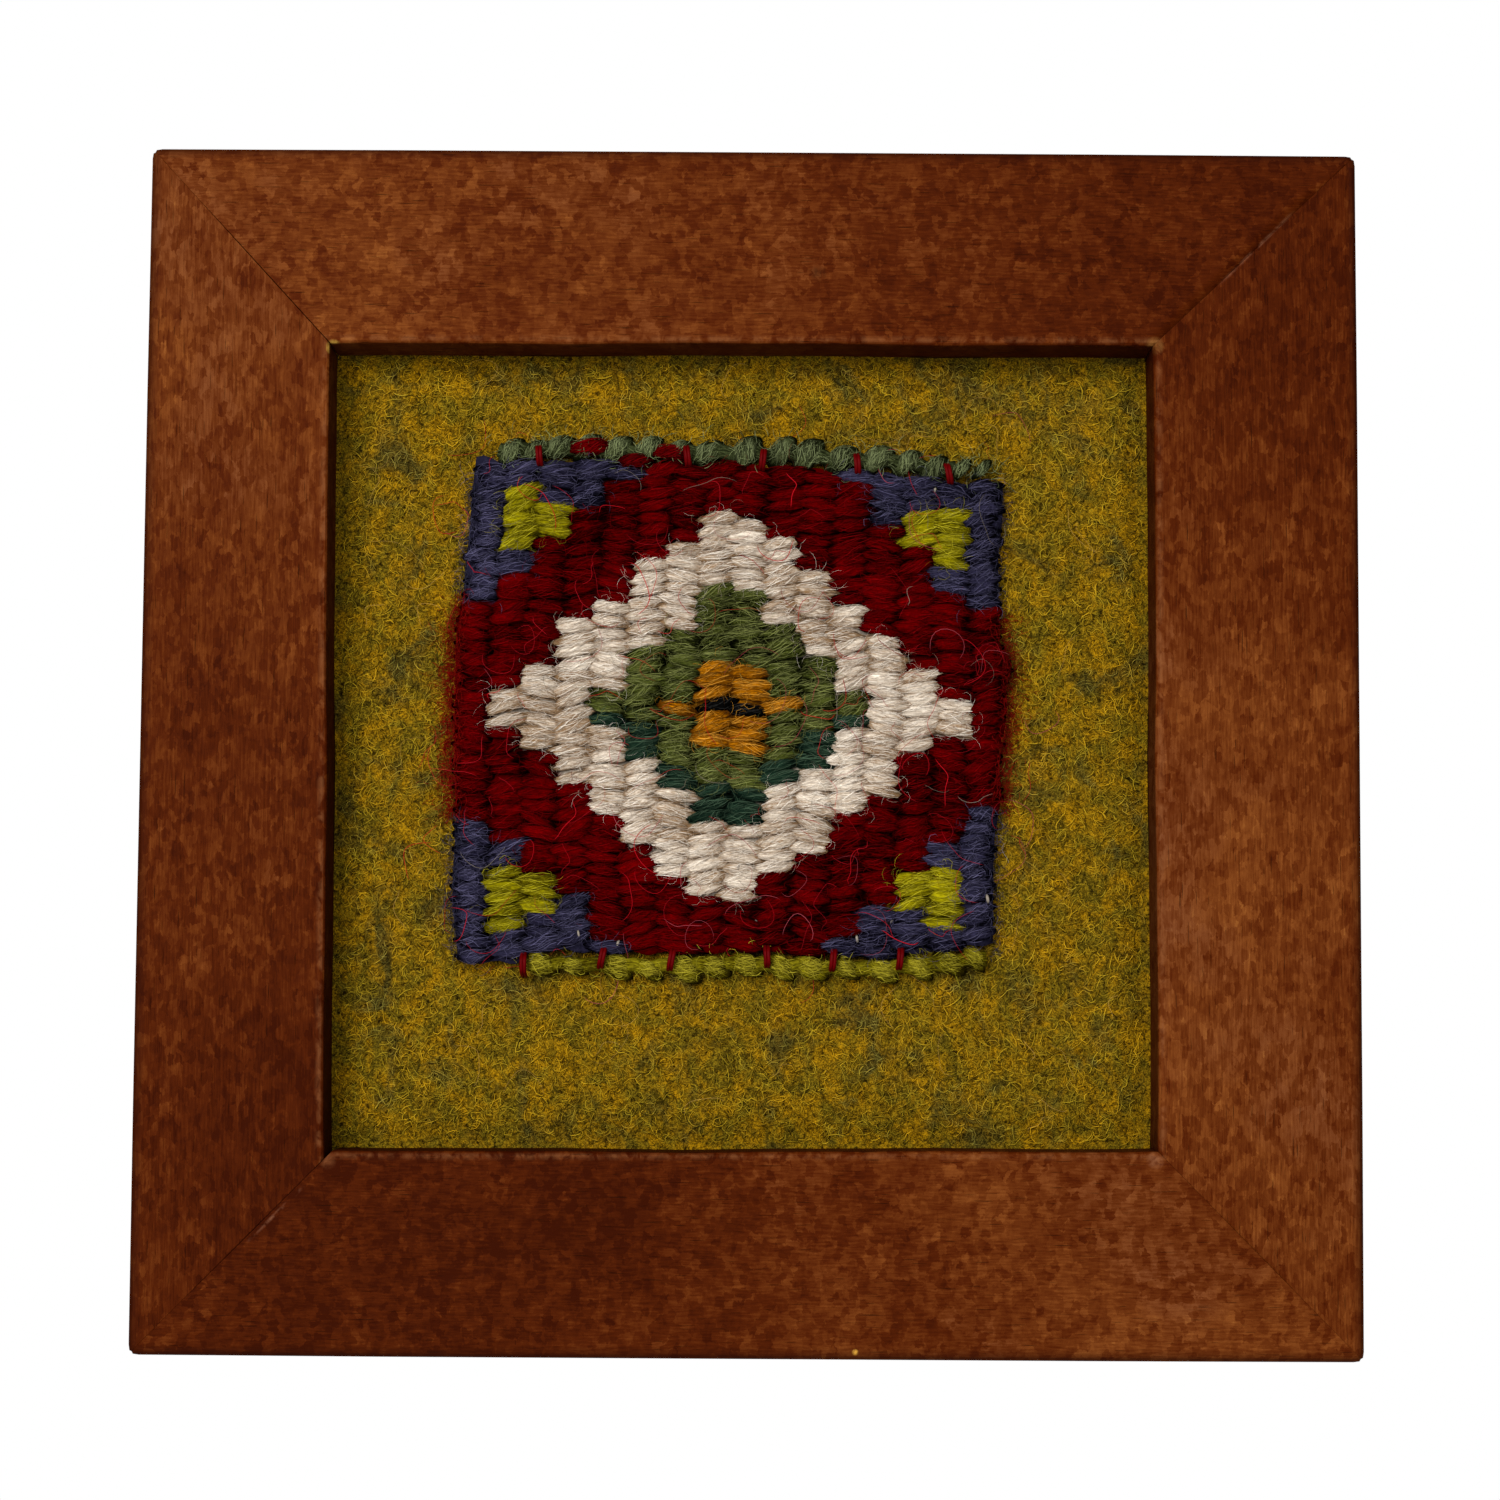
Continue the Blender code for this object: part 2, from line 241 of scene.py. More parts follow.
class Paint:
    """One material and the nodes that feed its shader."""

    def __init__(self, name, roughness=0.9, specular=0.1):
        self.material = bpy.data.materials.new(name)
        self.material.use_nodes = True
        self.tree = self.material.node_tree
        self.shader = self.tree.nodes["Principled BSDF"]
        self.set("Roughness", roughness)
        self.set("Specular IOR Level", specular)

    def node(self, kind, settings=None, inputs=None, output=0):
        """Adds a node: its settings first, then the values or links of its sockets."""
        node = self.tree.nodes.new(kind)
        for name, value in (settings or {}).items():
            if name == "stops":
                self.set_stops(node.color_ramp, value)
            else:
                setattr(node, name, value)
        for name, value in (inputs or {}).items():
            self.feed(node.inputs[name], value)
        return Socket(self, node.outputs[output])

    @staticmethod
    def set_stops(ramp, stops):
        while len(ramp.elements) < len(stops):
            ramp.elements.new(1.0)
        for element, (place, colour) in zip(ramp.elements, stops):
            element.position = place
            element.color = linear(colour)

    def feed(self, socket, value):
        """Links an output to a socket, or sets it to a number or a #rrggbb colour."""
        if isinstance(value, Socket):
            self.tree.links.new(value.output, socket)
        else:
            socket.default_value = linear(value) if isinstance(value, str) else value

    def set(self, name, value):
        self.feed(self.shader.inputs[name], value)

    def place(self):
        """Where a point lies, in metres."""
        return self.node("ShaderNodeTexCoord", output="Object")

    def fibre_place(self):
        """Where a point lies along and round its own yarn, in millimetres."""
        return self.node("ShaderNodeTexCoord", output="UV")

    def attribute(self, name):
        return self.node("ShaderNodeAttribute", {"attribute_name": name}, output="Fac")

    def attribute_colour(self, name):
        return self.node("ShaderNodeAttribute", {"attribute_name": name}, output="Color")

    def sized(self, vector, size, turn=(0.0, 0.0, 0.0)):
        """A place counted in grains of the given size along each axis."""
        scale = tuple(1 / side for side in size)
        inputs = {"Vector": vector, "Rotation": turn, "Scale": scale}
        return self.node("ShaderNodeMapping", None, inputs)

    def grain(self, vector, size, detail=2.0, turn=(0.0, 0.0, 0.0), distortion=0.0, rough=0.5):
        """Noise from 0 to 1 whose grains have the given size along each axis."""
        inputs = {
            "Vector": self.sized(vector, size, turn),
            "Scale": 1.0,
            "Detail": detail,
            "Roughness": rough,
            "Distortion": distortion,
        }
        return self.node("ShaderNodeTexNoise", None, inputs)

    def strands(self, vector, size, thinness=15.0, distortion=1.2):
        """Thin curling lines, along which a noise crosses its middle."""
        level = self.grain(vector, size, detail=1.0, distortion=distortion)
        return (1.0 - abs(level - 0.5) * thinness).clamped()

    def flakes(self, vector, size):
        """Small blocks with ragged edges, each of its own value from 0 to 1."""
        mapped = self.sized(vector, size)
        inputs = {"Vector": mapped, "Scale": 1.7, "Detail": 2.0}
        wobble = self.node("ShaderNodeTexNoise", None, inputs, output="Color")
        moved = self.node(
            "ShaderNodeVectorMath", {"operation": "ADD"}, {0: mapped, 1: wobble}, output="Vector"
        )
        settings = {"distance": "CHEBYCHEV"}
        return self.node("ShaderNodeTexVoronoi", settings, {"Vector": moved, "Scale": 1.0}, "Color")

    def ramp(self, value, *stops):
        return self.node("ShaderNodeValToRGB", {"stops": stops}, {0: value})

    def blend(self, share, first, second):
        settings = {"data_type": "RGBA", "clamp_factor": True}
        return self.node("ShaderNodeMix", settings, {0: share, 6: first, 7: second}, output=2)

    def near(self, point, radius):
        """1 at a point and 0 from a radius away."""
        distance = self.node(
            "ShaderNodeVectorMath",
            {"operation": "DISTANCE"},
            {0: self.place(), 1: tuple(point)},
            output="Value",
        )
        return (1.0 - distance / radius).clamped()

    def bump(self, height, distance, strength=1.0):
        inputs = {"Height": height, "Distance": distance, "Strength": strength}
        self.set("Normal", self.node("ShaderNodeBump", None, inputs))


def choose(obj):
    bpy.ops.object.select_all(action="DESELECT")
    obj.select_set(True)
    bpy.context.view_layer.objects.active = obj


def settle(obj):
    """Puts a piece's place, turn and size into its mesh."""
    choose(obj)
    bpy.ops.object.transform_apply(location=True, rotation=True, scale=True)


def apply_modifiers(obj):
    choose(obj)
    for modifier in list(obj.modifiers):
        bpy.ops.object.modifier_apply(modifier=modifier.name)


def linked(name, data):
    """A new object in the scene, round a mesh or a camera."""
    obj = bpy.data.objects.new(name, data)
    bpy.context.scene.collection.objects.link(obj)
    return obj


def points_of(obj):
    points = np.empty(len(obj.data.vertices) * 3)
    obj.data.vertices.foreach_get("co", points)
    return points.reshape(-1, 3)


def set_points(obj, points):
    obj.data.vertices.foreach_set("co", points.ravel())
    obj.data.update()


def set_values(obj, name, values):
    """A number for each point of a mesh, which its material reads by name."""
    layer = obj.data.attributes.new(name, "FLOAT", "POINT")
    layer.data.foreach_set("value", np.asarray(values, np.float32).ravel())


def set_colours(obj, name, colours):
    layer = obj.data.attributes.new(name, "FLOAT_COLOR", "POINT")
    layer.data.foreach_set("color", np.asarray(colours, np.float32).ravel())


def finished(obj, paint, slot, *replaced):
    """The piece with its material, riding on the one body. Its slot is not used."""
    obj.data.materials.clear()
    obj.data.materials.append(paint.material)
    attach(obj, "root")
    if replaced:
        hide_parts(*replaced)
    return obj


def wave_field(places, size, seed, octaves=2):
    """A smooth random height from -1 to 1 at each place, from a few crossed sine waves."""
    rng = np.random.default_rng(seed)
    height = np.zeros(len(places))
    total = 0.0
    for octave in range(octaves):
        reach = size / 2**octave
        weight = 0.6**octave
        for _ in range(6):
            way = rng.normal(size=places.shape[1])
            way *= TURN / reach / np.linalg.norm(way) * rng.uniform(0.6, 1.2)
            height += weight * np.sin(places @ way + rng.uniform(0, TURN))
            total += weight
    return height / total * 2


# Tubes: joined meshes of many closed yarns or hairs

def tube_sections(paths, radii, sides, flatness, lobe, lobe_turn):
    """The points of every tube's rings: tubes, stations, sides and three numbers."""
    ahead = np.gradient(paths, axis=1)
    ahead /= np.linalg.norm(ahead, axis=2, keepdims=True) + 1e-12
    across = np.cross(ahead, np.array([0.0, 1.0, 0.0]))
    across /= np.linalg.norm(across, axis=2, keepdims=True) + 1e-12
    out = np.cross(across, ahead)
    angle = TURN * np.arange(sides) / sides
    reach = radii[..., None] * (1 - lobe * np.sin(angle - lobe_turn[..., None]) ** 2)
    offset = (reach * np.cos(angle))[..., None] * across[:, :, None]
    offset += (reach * np.sin(angle) * flatness)[..., None] * out[:, :, None]
    return paths[:, :, None] + offset


def tube_faces(tubes, stations, sides):
    """Quads along each tube, then the cap at its start and the cap at its end."""
    ring = np.arange(sides)
    after = (ring + 1) % sides
    step = np.arange(stations - 1)[:, None] * sides
    quad = np.stack([step + ring, step + sides + ring, step + sides + after, step + after], -1)
    base = np.arange(tubes) * stations * sides
    quads = (base[:, None, None] + quad.reshape(1, -1, 4)).reshape(-1, 4)
    start = base[:, None] + ring
    end = base[:, None] + (stations - 1) * sides + ring[::-1]
    return quads, start, end


def tube_uv(lengths, radii, tubes, stations, sides, rng):
    """Millimetres along and round each tube for the corners of its quads; caps get one point."""
    start = rng.uniform(0, 400, tubes)
    along = start[:, None] + lengths / MM
    girth = TURN * radii.max(axis=1) / MM
    low = np.repeat(along[:, :-1, None], sides, 2)
    high = np.repeat(along[:, 1:, None], sides, 2)
    turn = np.arange(sides) / sides * girth[:, None, None] + np.zeros_like(low)
    after = turn + girth[:, None, None] / sides
    corners = np.stack([low, turn, high, turn, high, after, low, after], -1)
    quads = corners.reshape(-1, 2)
    caps = [np.repeat(along[:, place], sides) for place in (0, -1)]
    caps = np.concatenate([np.stack([cap, np.zeros_like(cap)], -1) for cap in caps])
    return np.concatenate([quads, caps])


def tubes(name, paths, radii, sides, tone, flatness=1.0, lobe=0.0, lobe_turn=None, seed=0):
    """One object of closed tubes along the paths, with a tone for each tube."""
    count, stations = radii.shape
    turn = np.zeros_like(radii) if lobe_turn is None else lobe_turn
    rings = tube_sections(paths, radii, sides, flatness, lobe, turn)
    quads, start, end = tube_faces(count, stations, sides)
    mesh = bpy.data.meshes.new(name)
    faces = quads.tolist() + start.tolist() + end.tolist()
    mesh.from_pydata(rings.reshape(-1, 3), [], faces)
    obj = linked(name, mesh)
    set_values(obj, "tone", np.repeat(tone, stations * sides))
    steps = np.linalg.norm(np.diff(paths, axis=1), axis=2)
    lengths = np.concatenate([np.zeros((count, 1)), np.cumsum(steps, axis=1)], 1)
    rng = np.random.default_rng(seed)
    layer = mesh.uv_layers.new(name="along_yarn")
    layer.data.foreach_set("uv", tube_uv(lengths, radii, count, stations, sides, rng).ravel())
    mesh.shade_smooth()
    mesh.update()
    return obj


def hair_faces(count, inner):
    """The faces of hairs with a point at each end and three-sided rings between."""
    ring = np.arange(HAIR_SIDES)
    after = (ring + 1) % HAIR_SIDES
    last = 1 + inner * HAIR_SIDES
    step = 1 + np.arange(inner - 1)[:, None] * HAIR_SIDES
    ahead = step + HAIR_SIDES
    quad = np.stack([step + ring, ahead + ring, ahead + after, step + after], -1)
    end_ring = last - HAIR_SIDES
    tip = np.stack([np.zeros_like(ring), 1 + ring, 1 + after], -1)
    tail = np.stack([end_ring + ring, np.full_like(ring, last), end_ring + after], -1)
    base = (np.arange(count) * (last + 1))[:, None, None]
    quads = (base + quad.reshape(1, -1, 4)).reshape(-1, 4)
    points = (base + np.concatenate([tip, tail])[None]).reshape(-1, 3)
    return quads, points


def hairs(name, paths, radius, tone):
    """One object of fine closed hairs along the paths, with a tone for each hair."""
    count, stations = paths.shape[:2]
    share = np.linspace(-1, 1, stations)
    radii = np.asarray(radius)[:, None] * (1 - 0.5 * share**4)
    rings = tube_sections(paths, radii, HAIR_SIDES, 1.0, 0.0, np.zeros_like(radii))
    inner = rings[:, 1:-1].reshape(count, -1, 3)
    points = np.concatenate([paths[:, :1], inner, paths[:, -1:]], axis=1)
    quads, ends = hair_faces(count, stations - 2)
    mesh = bpy.data.meshes.new(name)
    mesh.from_pydata(points.reshape(-1, 3), [], quads.tolist() + ends.tolist())
    obj = linked(name, mesh)
    set_values(obj, "tone", np.repeat(tone, points.shape[1]))
    mesh.shade_smooth()
    mesh.update()
    return obj


def curly_paths(starts, headings, lengths, bends, stations):
    """Hairs that start at points, head off at angles in the wall's plane and keep curving."""
    share = np.linspace(0, 1, stations)
    turn = headings[:, None] + bends[:, None] * lengths[:, None] * share
    step = lengths[:, None] / (stations - 1)
    across = np.cumsum(np.cos(turn) * step, axis=1)
    up = np.cumsum(np.sin(turn) * step, axis=1)
    paths = np.zeros((len(starts), stations, 3))
    paths[..., 0] = starts[:, None, 0] + across
    paths[..., 2] = starts[:, None, 1] + up
    return paths


def arch(stations):
    """How high a hair stands along its length: 0 at its ends and 1 in its middle."""
    return np.sin(math.pi * np.linspace(0, 1, stations))


def within_aperture(paths, margin):
    """Only the hairs that stay clear of the rails."""
    x = paths[..., 0]
    z = paths[..., 2]
    clear = (x > APERTURE_LEFT + margin) & (x < APERTURE_RIGHT - margin)
    clear &= (z > APERTURE_BOTTOM + margin) & (z < APERTURE_TOP - margin)
    return paths[clear.all(axis=1)]


# Lumps: short thick lengths of yarn, each tucked behind its neighbours at both ends

Lumps = namedtuple("Lumps", "x z half slant radius front dip sag")


def lump_axis(lumps, share):
    """Points along the middle of each lump, at shares of its half length from -1 to 1."""
    x, z, half, slant, radius, front, dip, sag = (column[:, None] for column in lumps)
    across = x + half * share * np.cos(slant)
    up = z + half * share * np.sin(slant) + sag * (1 - share**2)
    depth = front + radius * YARN_FLATNESS + dip * np.abs(share) ** DIP_POWER
    return across, depth, up


def lump_girth(lumps, share, woven):
    """Radii along each lump: the weave's floats taper like a lens, a cord's lumps are blunt."""
    power, fall = WOVEN_TAPER if woven else CORD_TAPER
    taper = (1 - np.abs(share) ** power).clip(0) ** fall
    return lumps.radius[:, None] * np.maximum(taper, LEAST_GIRTH)


def within_weave(x, z, past):
    """x kept between the weave's left and right edges, or at most a little past them."""
    return np.clip(x, edge_at("left", z) - past, edge_at("right", z) + past)


def in_hollow(depth, lumps):
    """From 0 on a lump's front to 1 deep behind it, where its yarn lies in shade."""
    reach = lumps.radius * YARN_FLATNESS
    return ((depth - lumps.front - HOLLOW_START * reach) / (HOLLOW_DEPTH * reach)).clip(0, 1)


def lump_yarn(name, lumps, seed, woven=True):
    """The lumps as two-ply yarn: closed tubes whose lobes twist along them."""
    rng = np.random.default_rng(seed)
    share = np.linspace(-1, 1, LUMP_STATIONS)
    across, depth, up = lump_axis(lumps, share)
    if woven:
        across = within_weave(across, up, YARN_PAST_EDGE)
    count = len(lumps.x)
    turn = rng.uniform(0, math.pi, count)[:, None]
    turn = turn + math.pi * lumps.half[:, None] * share / LOBE_LENGTH
    tone = rng.beta(2, 2, count)
    obj = tubes(
        name,
        np.stack([across, depth, up], -1),
        lump_girth(lumps, share, woven),
        YARN_SIDES,
        tone,
        flatness=YARN_FLATNESS,
        lobe=LUMP_LOBE,
        lobe_turn=turn,
        seed=seed,
    )
    each = LUMP_STATIONS * YARN_SIDES
    own = Lumps(*(np.repeat(column, each) for column in lumps))
    # Painted shade: the yarn's tone is darkened where it dips behind its neighbours
    shaded = np.repeat(tone, each) - in_hollow(points_of(obj)[:, 1], own) * YARN_SHADE
    obj.data.attributes["tone"].data.foreach_set("value", shaded.astype(np.float32))
    return obj


def lump_fibres(name, lumps, each, seed, woven=True):
    """Fibres that wind round each lump along its twist and hold close to it."""
    rng = np.random.default_rng(seed)
    count = len(lumps.x) * each
    pick = np.repeat(np.arange(len(lumps.x)), each)
    own = Lumps(*(column[pick] for column in lumps))
    begin = rng.uniform(-0.97, 0.35, count)
    reach = rng.uniform(0.5, 1.25, count)
    steps = np.linspace(0, 1, FIBRE_STATIONS)
    share = (begin[:, None] + reach[:, None] * steps).clip(-1, 1)
    climb = FIBRE_TURN + rng.normal(0, 0.55, count)
    loose = rng.random(count) < (WOVEN_LOOSE if woven else CORD_LOOSE)
    climb[loose] = rng.uniform(-1.6, 2.6, loose.sum())
    side = rng.uniform(-1.15, 0.9, count)[:, None] + climb[:, None] * reach[:, None] * steps
    curl = rng.uniform(0.05, 0.22, count)[:, None]
    side += curl * np.sin(rng.uniform(0, TURN, count)[:, None] + 5.5 * steps)
    side = side.clip(-0.97, 0.97)
    across, depth, up = lump_axis(own, share)
    girth = lump_girth(own, share, woven)
    slant = own.slant[:, None]
    across = across - np.sin(slant) * side * girth
    up = up + np.cos(slant) * side * girth
    lift = rng.gamma(1.6, 0.055, count)[:, None] * MM * np.sin(math.pi * (0.15 + 0.7 * steps))
    depth = depth - YARN_FLATNESS * girth * np.sqrt(1 - side**2) - lift
    if woven:
        across = within_weave(across, up, FIBRE_PAST_EDGE)
    widths = rng.uniform(0.7, 1.3, count) * FIBRE_RADIUS
    # Painted shade: fibres deep in a hollow get a darker tone
    tone = rng.beta(1.2, 1.2, count) - in_hollow(depth.mean(axis=1), own) * FIBRE_SHADE
    return hairs(name, np.stack([across, depth, up], -1), widths, tone)


# The weave's outline, from the solid that it replaces

def weave_outline():
    """The panel's four edges, from its solid's flat back, which has points on its rim alone."""
    points = points_of(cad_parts["tapestry_panel"])
    rim = points[points[:, 1] > PANEL_BACK - 0.05 * MM][:, [0, 2]]
    rim = np.unique(rim.round(6), axis=0)
    turn = np.arctan2(rim[:, 1] - rim[:, 1].mean(), rim[:, 0] - rim[:, 0].mean())
    rim = rim[np.argsort(turn)]
    middle = (rim.min(0) + rim.max(0)) / 2
    rim = np.roll(rim, -int(np.argmax((rim - middle) @ (-1, -1))), axis=0)
    corners = [int(np.argmax((rim - middle) @ way)) for way in ((1, -1), (1, 1), (-1, 1))]
    bottom, right, top = (rim[low:high + 1] for low, high in zip([0, *corners], corners))
    left = np.concatenate([rim[corners[-1]:], rim[:1]])
    return {
        "bottom": bottom,
        "top": top[::-1],
        "left": left[::-1][:, ::-1],
        "right": right[:, ::-1],
    }


OUTLINE = weave_outline()


def edge_at(side, along):
    """Where an edge of the weave is, at places along it."""
    table = OUTLINE[side]
    return np.interp(along, table[:, 0], table[:, 1])


def weave_at(across, up):
    """x and z of points of the weave, from shares of its width and height."""
    rough_z = PANEL_LOW.z + up * (PANEL_HIGH.z - PANEL_LOW.z) * 0.97
    left = edge_at("left", rough_z)
    right = edge_at("right", rough_z)
    bend = np.sin(6 * up + 9 * across) * np.sin(math.pi * across)
    x = left + (right - left) * across + 0.3 * MM * bend
    bottom = edge_at("bottom", x)
    top = edge_at("top", x)
    return x, bottom + (top - bottom) * up


def row_at(x, z):
    """The row of the weave at each point."""
    bottom = edge_at("bottom", x)
    top = edge_at("top", x)
    return ((z - bottom) / (top - bottom) * ROWS).clip(0, ROWS - 0.01).astype(int)


def yarn_at(column, row):
    """The name of the yarn of one float."""
    from_middle = abs(column - (WARPS - 1) / 2)
    from_centre = abs(row - (ROWS - 1) / 2)
    steps = from_middle + from_centre / ROWS_PER_STEP
    spot_steps = abs(from_middle - CORNER_SPOT_AT[0])
    spot_steps += abs(from_centre - CORNER_SPOT_AT[1]) / ROWS_PER_STEP
    from_corner = WARPS / 2 + ROWS / 2 / ROWS_PER_STEP - steps
    if steps < DARK_HEART:
        return "charcoal"
    if steps < ORANGE_HEART:
        return "orange"
    if steps < GREEN_DIAMOND:
        return "teal" if row < (ROWS - 1) / 2 and steps > TEAL_EDGE else "olive"
    if steps < IVORY_DIAMOND:
        return "ivory"
    if spot_steps < CORNER_SPOT:
        return "yellow_green"
    return "navy" if from_corner < CORNER_STEPS else "red"


# Materials

def wool(name, dark, light):
    """Soft two-ply wool: twisted fibres, a tone for each length that also carries painted shade where
    the yarn dips, and patches in the dye.
    """
    paint = Paint(name, roughness=1.0, specular=0.0)
    along = paint.fibre_place()
    lay = paint.grain(along, (2.2, 0.14, 1.0), detail=2.0, turn=(0.0, 0.0, 0.45))
    lines = paint.strands(along, (1.8, 0.3, 1.0), thinness=9.0, distortion=0.4)
    fluff = paint.grain(paint.place(), (0.3 * MM,) * 3, detail=3.0)
    dye = paint.grain(paint.place(), (9 * MM, 9 * MM, 7 * MM), detail=1.0)
    share = paint.attribute("tone") * 0.35 + lay * 0.9 + lines * 0.25 + fluff * 0.4 + dye * 0.5
    paint.set("Base Color", paint.blend(((share - 0.9) * 1.25).clamped(), dark, light))
    paint.bump(lay * 0.7 + lines * 0.4 + fluff * 0.4, 0.14 * MM)
    return paint


def hair(name, dark, light):
    """Hair of one colour, with a tone for each hair and patches in the dye."""
    paint = Paint(name, roughness=0.9, specular=0.02)
    dye = paint.grain(paint.place(), (9 * MM, 9 * MM, 7 * MM), detail=1.0)
    share = paint.attribute("tone") * 0.8 + dye * 0.6 - 0.2
    paint.set("Base Color", paint.blend(share.clamped(), dark, light))
    return paint


def core_wool():
    """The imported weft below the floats, in the colours of the design but in shade."""
    paint = Paint("packed_weft", roughness=1.0, specular=0.0)
    fluff = paint.grain(paint.place(), (0.5 * MM,) * 3, detail=3.0)
    yarn = paint.attribute_colour("yarn_colour")
    paint.set("Base Color", paint.blend(fluff * 0.8, yarn, "#000000"))
    paint.bump(fluff, 0.2 * MM)
    return paint


# The felt's colours in its dark patches, its olive and its ochre clouds
FELT_DARK_AND_SHADED = ("#120e04", "#1a1303", "#2a1c03")
FELT_MIDDLE = ("#2e280f", "#4b3d0a", "#6e5007")
FELT_LIGHT = ("#524a1d", "#826a14", "#a87c0c")
FIBRE_SHADED = ("#1c1807", "#2c2305", "#3c2b04")
FIBRE_LIT = ("#807a3a", "#b49822", "#d0a018")


def felt_tones(paint):
    """The felt's mottling: ochre clouds over olive, with dark green-grey patches."""
    place = paint.place()
    clouds = paint.grain(place, (3 * MM, 3 * MM, 3.4 * MM), detail=4.0, rough=0.7, distortion=0.5)
    patches = paint.grain(place, (6 * MM, 6 * MM, 7 * MM), detail=3.0, rough=0.6, distortion=0.8)
    return clouds, patches


def felt_colour(paint, tones, colours):
    clouds, patches = tones
    dark, olive, ochre = colours
    ground = paint.blend(clouds.above(0.4, 0.22), olive, ochre)
    return paint.blend(patches.above(0.52, 0.16) * 0.8, ground, dark)


def felt_ground():
    """Matted felt: light curls over a middle tone, with dark curls, and painted shade in the pits
    between the fibres.
    """
    paint = Paint("mottled_felt", roughness=1.0, specular=0.0)
    tones = felt_tones(paint)
    place = paint.place()
    large_curls = paint.strands(place, (0.7 * MM,) * 3, 16.0)
    curls = large_curls + paint.strands(place, (0.5 * MM,) * 3, 16.0)
    pits = paint.grain(place, (0.7 * MM,) * 3, detail=3.0, rough=0.6)
    middle = felt_colour(paint, tones, FELT_MIDDLE)
    light = felt_colour(paint, tones, FELT_LIGHT)
    colour = paint.blend(curls.clamped() * 0.85, middle, light)
    dark_curls = paint.strands(place, (0.8 * MM,) * 3, 13.0, 2.0)
    # Dark curls, and painted shade in the low pits of the felt
    dark_curls_and_pit_shade = dark_curls * 0.85 + ((0.47 - pits) / 0.12).clamped() * 0.6
    # The colours of the dark curls and of the painted shade in the pits
    deep = felt_colour(paint, tones, FELT_DARK_AND_SHADED)
    paint.set("Base Color", paint.blend(dark_curls_and_pit_shade.clamped(), colour, deep))
    paint.bump(pits, 0.25 * MM)
    return paint


def felt_fibre():
    paint = Paint("felt_fibre", roughness=0.9, specular=0.04)
    tones = felt_tones(paint)
    shade = felt_colour(paint, tones, FIBRE_SHADED)
    lit = felt_colour(paint, tones, FIBRE_LIT)
    paint.set("Base Color", paint.blend(paint.attribute("tone"), shade, lit))
    return paint


# The stained wood. Its dark stains, marks and worn mitres are placed in millimetres from the
# frame's centre.
STAIN_TONES = (
    (0.0, "#300b00"),
    (0.28, "#441702"),
    (0.5, "#572709"),
    (0.74, "#6e3a15"),
    (1.0, "#925c28"),
)
# A pale greyish dusting that is partly a painted sheen on the satin finish
WOOD_DUST_AND_SHEEN = "#5f3a2a"
WOOD_CRACK = "#1c0802"
# Worn wood at the inner edge, which is also a painted highlight
WOOD_WORN_AND_HIGHLIT = "#7c4d2c"
# The colour of painted shade on the rails' outer rim and inner walls
WOOD_PAINTED_SHADE = "#260a03"
MITRE_WORN = "#80523a"
Stain = namedtuple("Stain", "x z reach depth")
DARK_STAINS = (
    Stain(-48, -62, 95, 0.40),
    Stain(62, 66, 60, 0.38),
    Stain(10, 70, 60, 0.12),
    Stain(-21, -58.5, 16, 0.22),
    Stain(-66, 10, 45, 0.12),
)
Mark = namedtuple("Mark", "x z reach colour strength")
MARKS = (
    Mark(8.2, 59.9, 1.2, "#220a02", 1.5),
    Mark(13.4, -74.6, 0.45, "#d09a3c", 2.5),
    Mark(-52.7, 50.1, 1.1, "#b08a3a", 2.5),
    Mark(50.6, 50.9, 1.3, "#7c5226", 1.2),
    Mark(50.4, -50.9, 1.2, "#8a5a3c", 1.0),
    Mark(-51.8, -51.7, 1.1, "#7c4a2a", 0.7),
)
PALE_MITRES = ((63.5, 7.0), (-58.2, 5.0))
PALE_LINE_WIDTH = 0.28 * MM


def wood_point(x, z):
    return (x * MM, FRAME_FRONT, CENTRE_Z + z * MM)


def pale_line(paint, along, reach):
    """A worn line along a stretch of a mitre that runs up to the right."""
    way = Vector((1, 0, -1)).normalized()
    settings = {"operation": "DOT_PRODUCT"}
    inputs = {0: paint.place(), 1: tuple(way)}
    off = paint.node("ShaderNodeVectorMath", settings, inputs, output="Value")
    middle = Vector(wood_point(along, along))
    line = (1.0 - abs(off - way.dot(middle)) / PALE_LINE_WIDTH).clamped()
    return line * (paint.near(middle, reach * MM) * 2.0).clamped()


def soak_stains(paint, share, dust_and_sheen):
    """Dark stains, which lower the tone of the wood and leave less of the pale dusting and painted
    sheen on it.
    """
    for stain in DARK_STAINS:
        soaked = paint.near(wood_point(stain.x, stain.z), stain.reach * MM) * stain.depth
        share = share - soaked
        dust_and_sheen = dust_and_sheen - soaked * 0.5
    return share, dust_and_sheen


def wood_marks(paint, colour, figure):
    """Worn lines on two mitres and small marks, with edges that follow the wood's figure."""
    for along, reach in PALE_MITRES:
        line = pale_line(paint, along, reach) * figure.above(0.4, 0.2)
        colour = paint.blend(line * 0.6, colour, MITRE_WORN)
    rough_edge = figure.above(0.35, 0.3)
    for mark in MARKS:
        spot = paint.near(wood_point(mark.x, mark.z), mark.reach * MM) * mark.strength
        colour = paint.blend(spot * rough_edge, colour, mark.colour)
    return colour


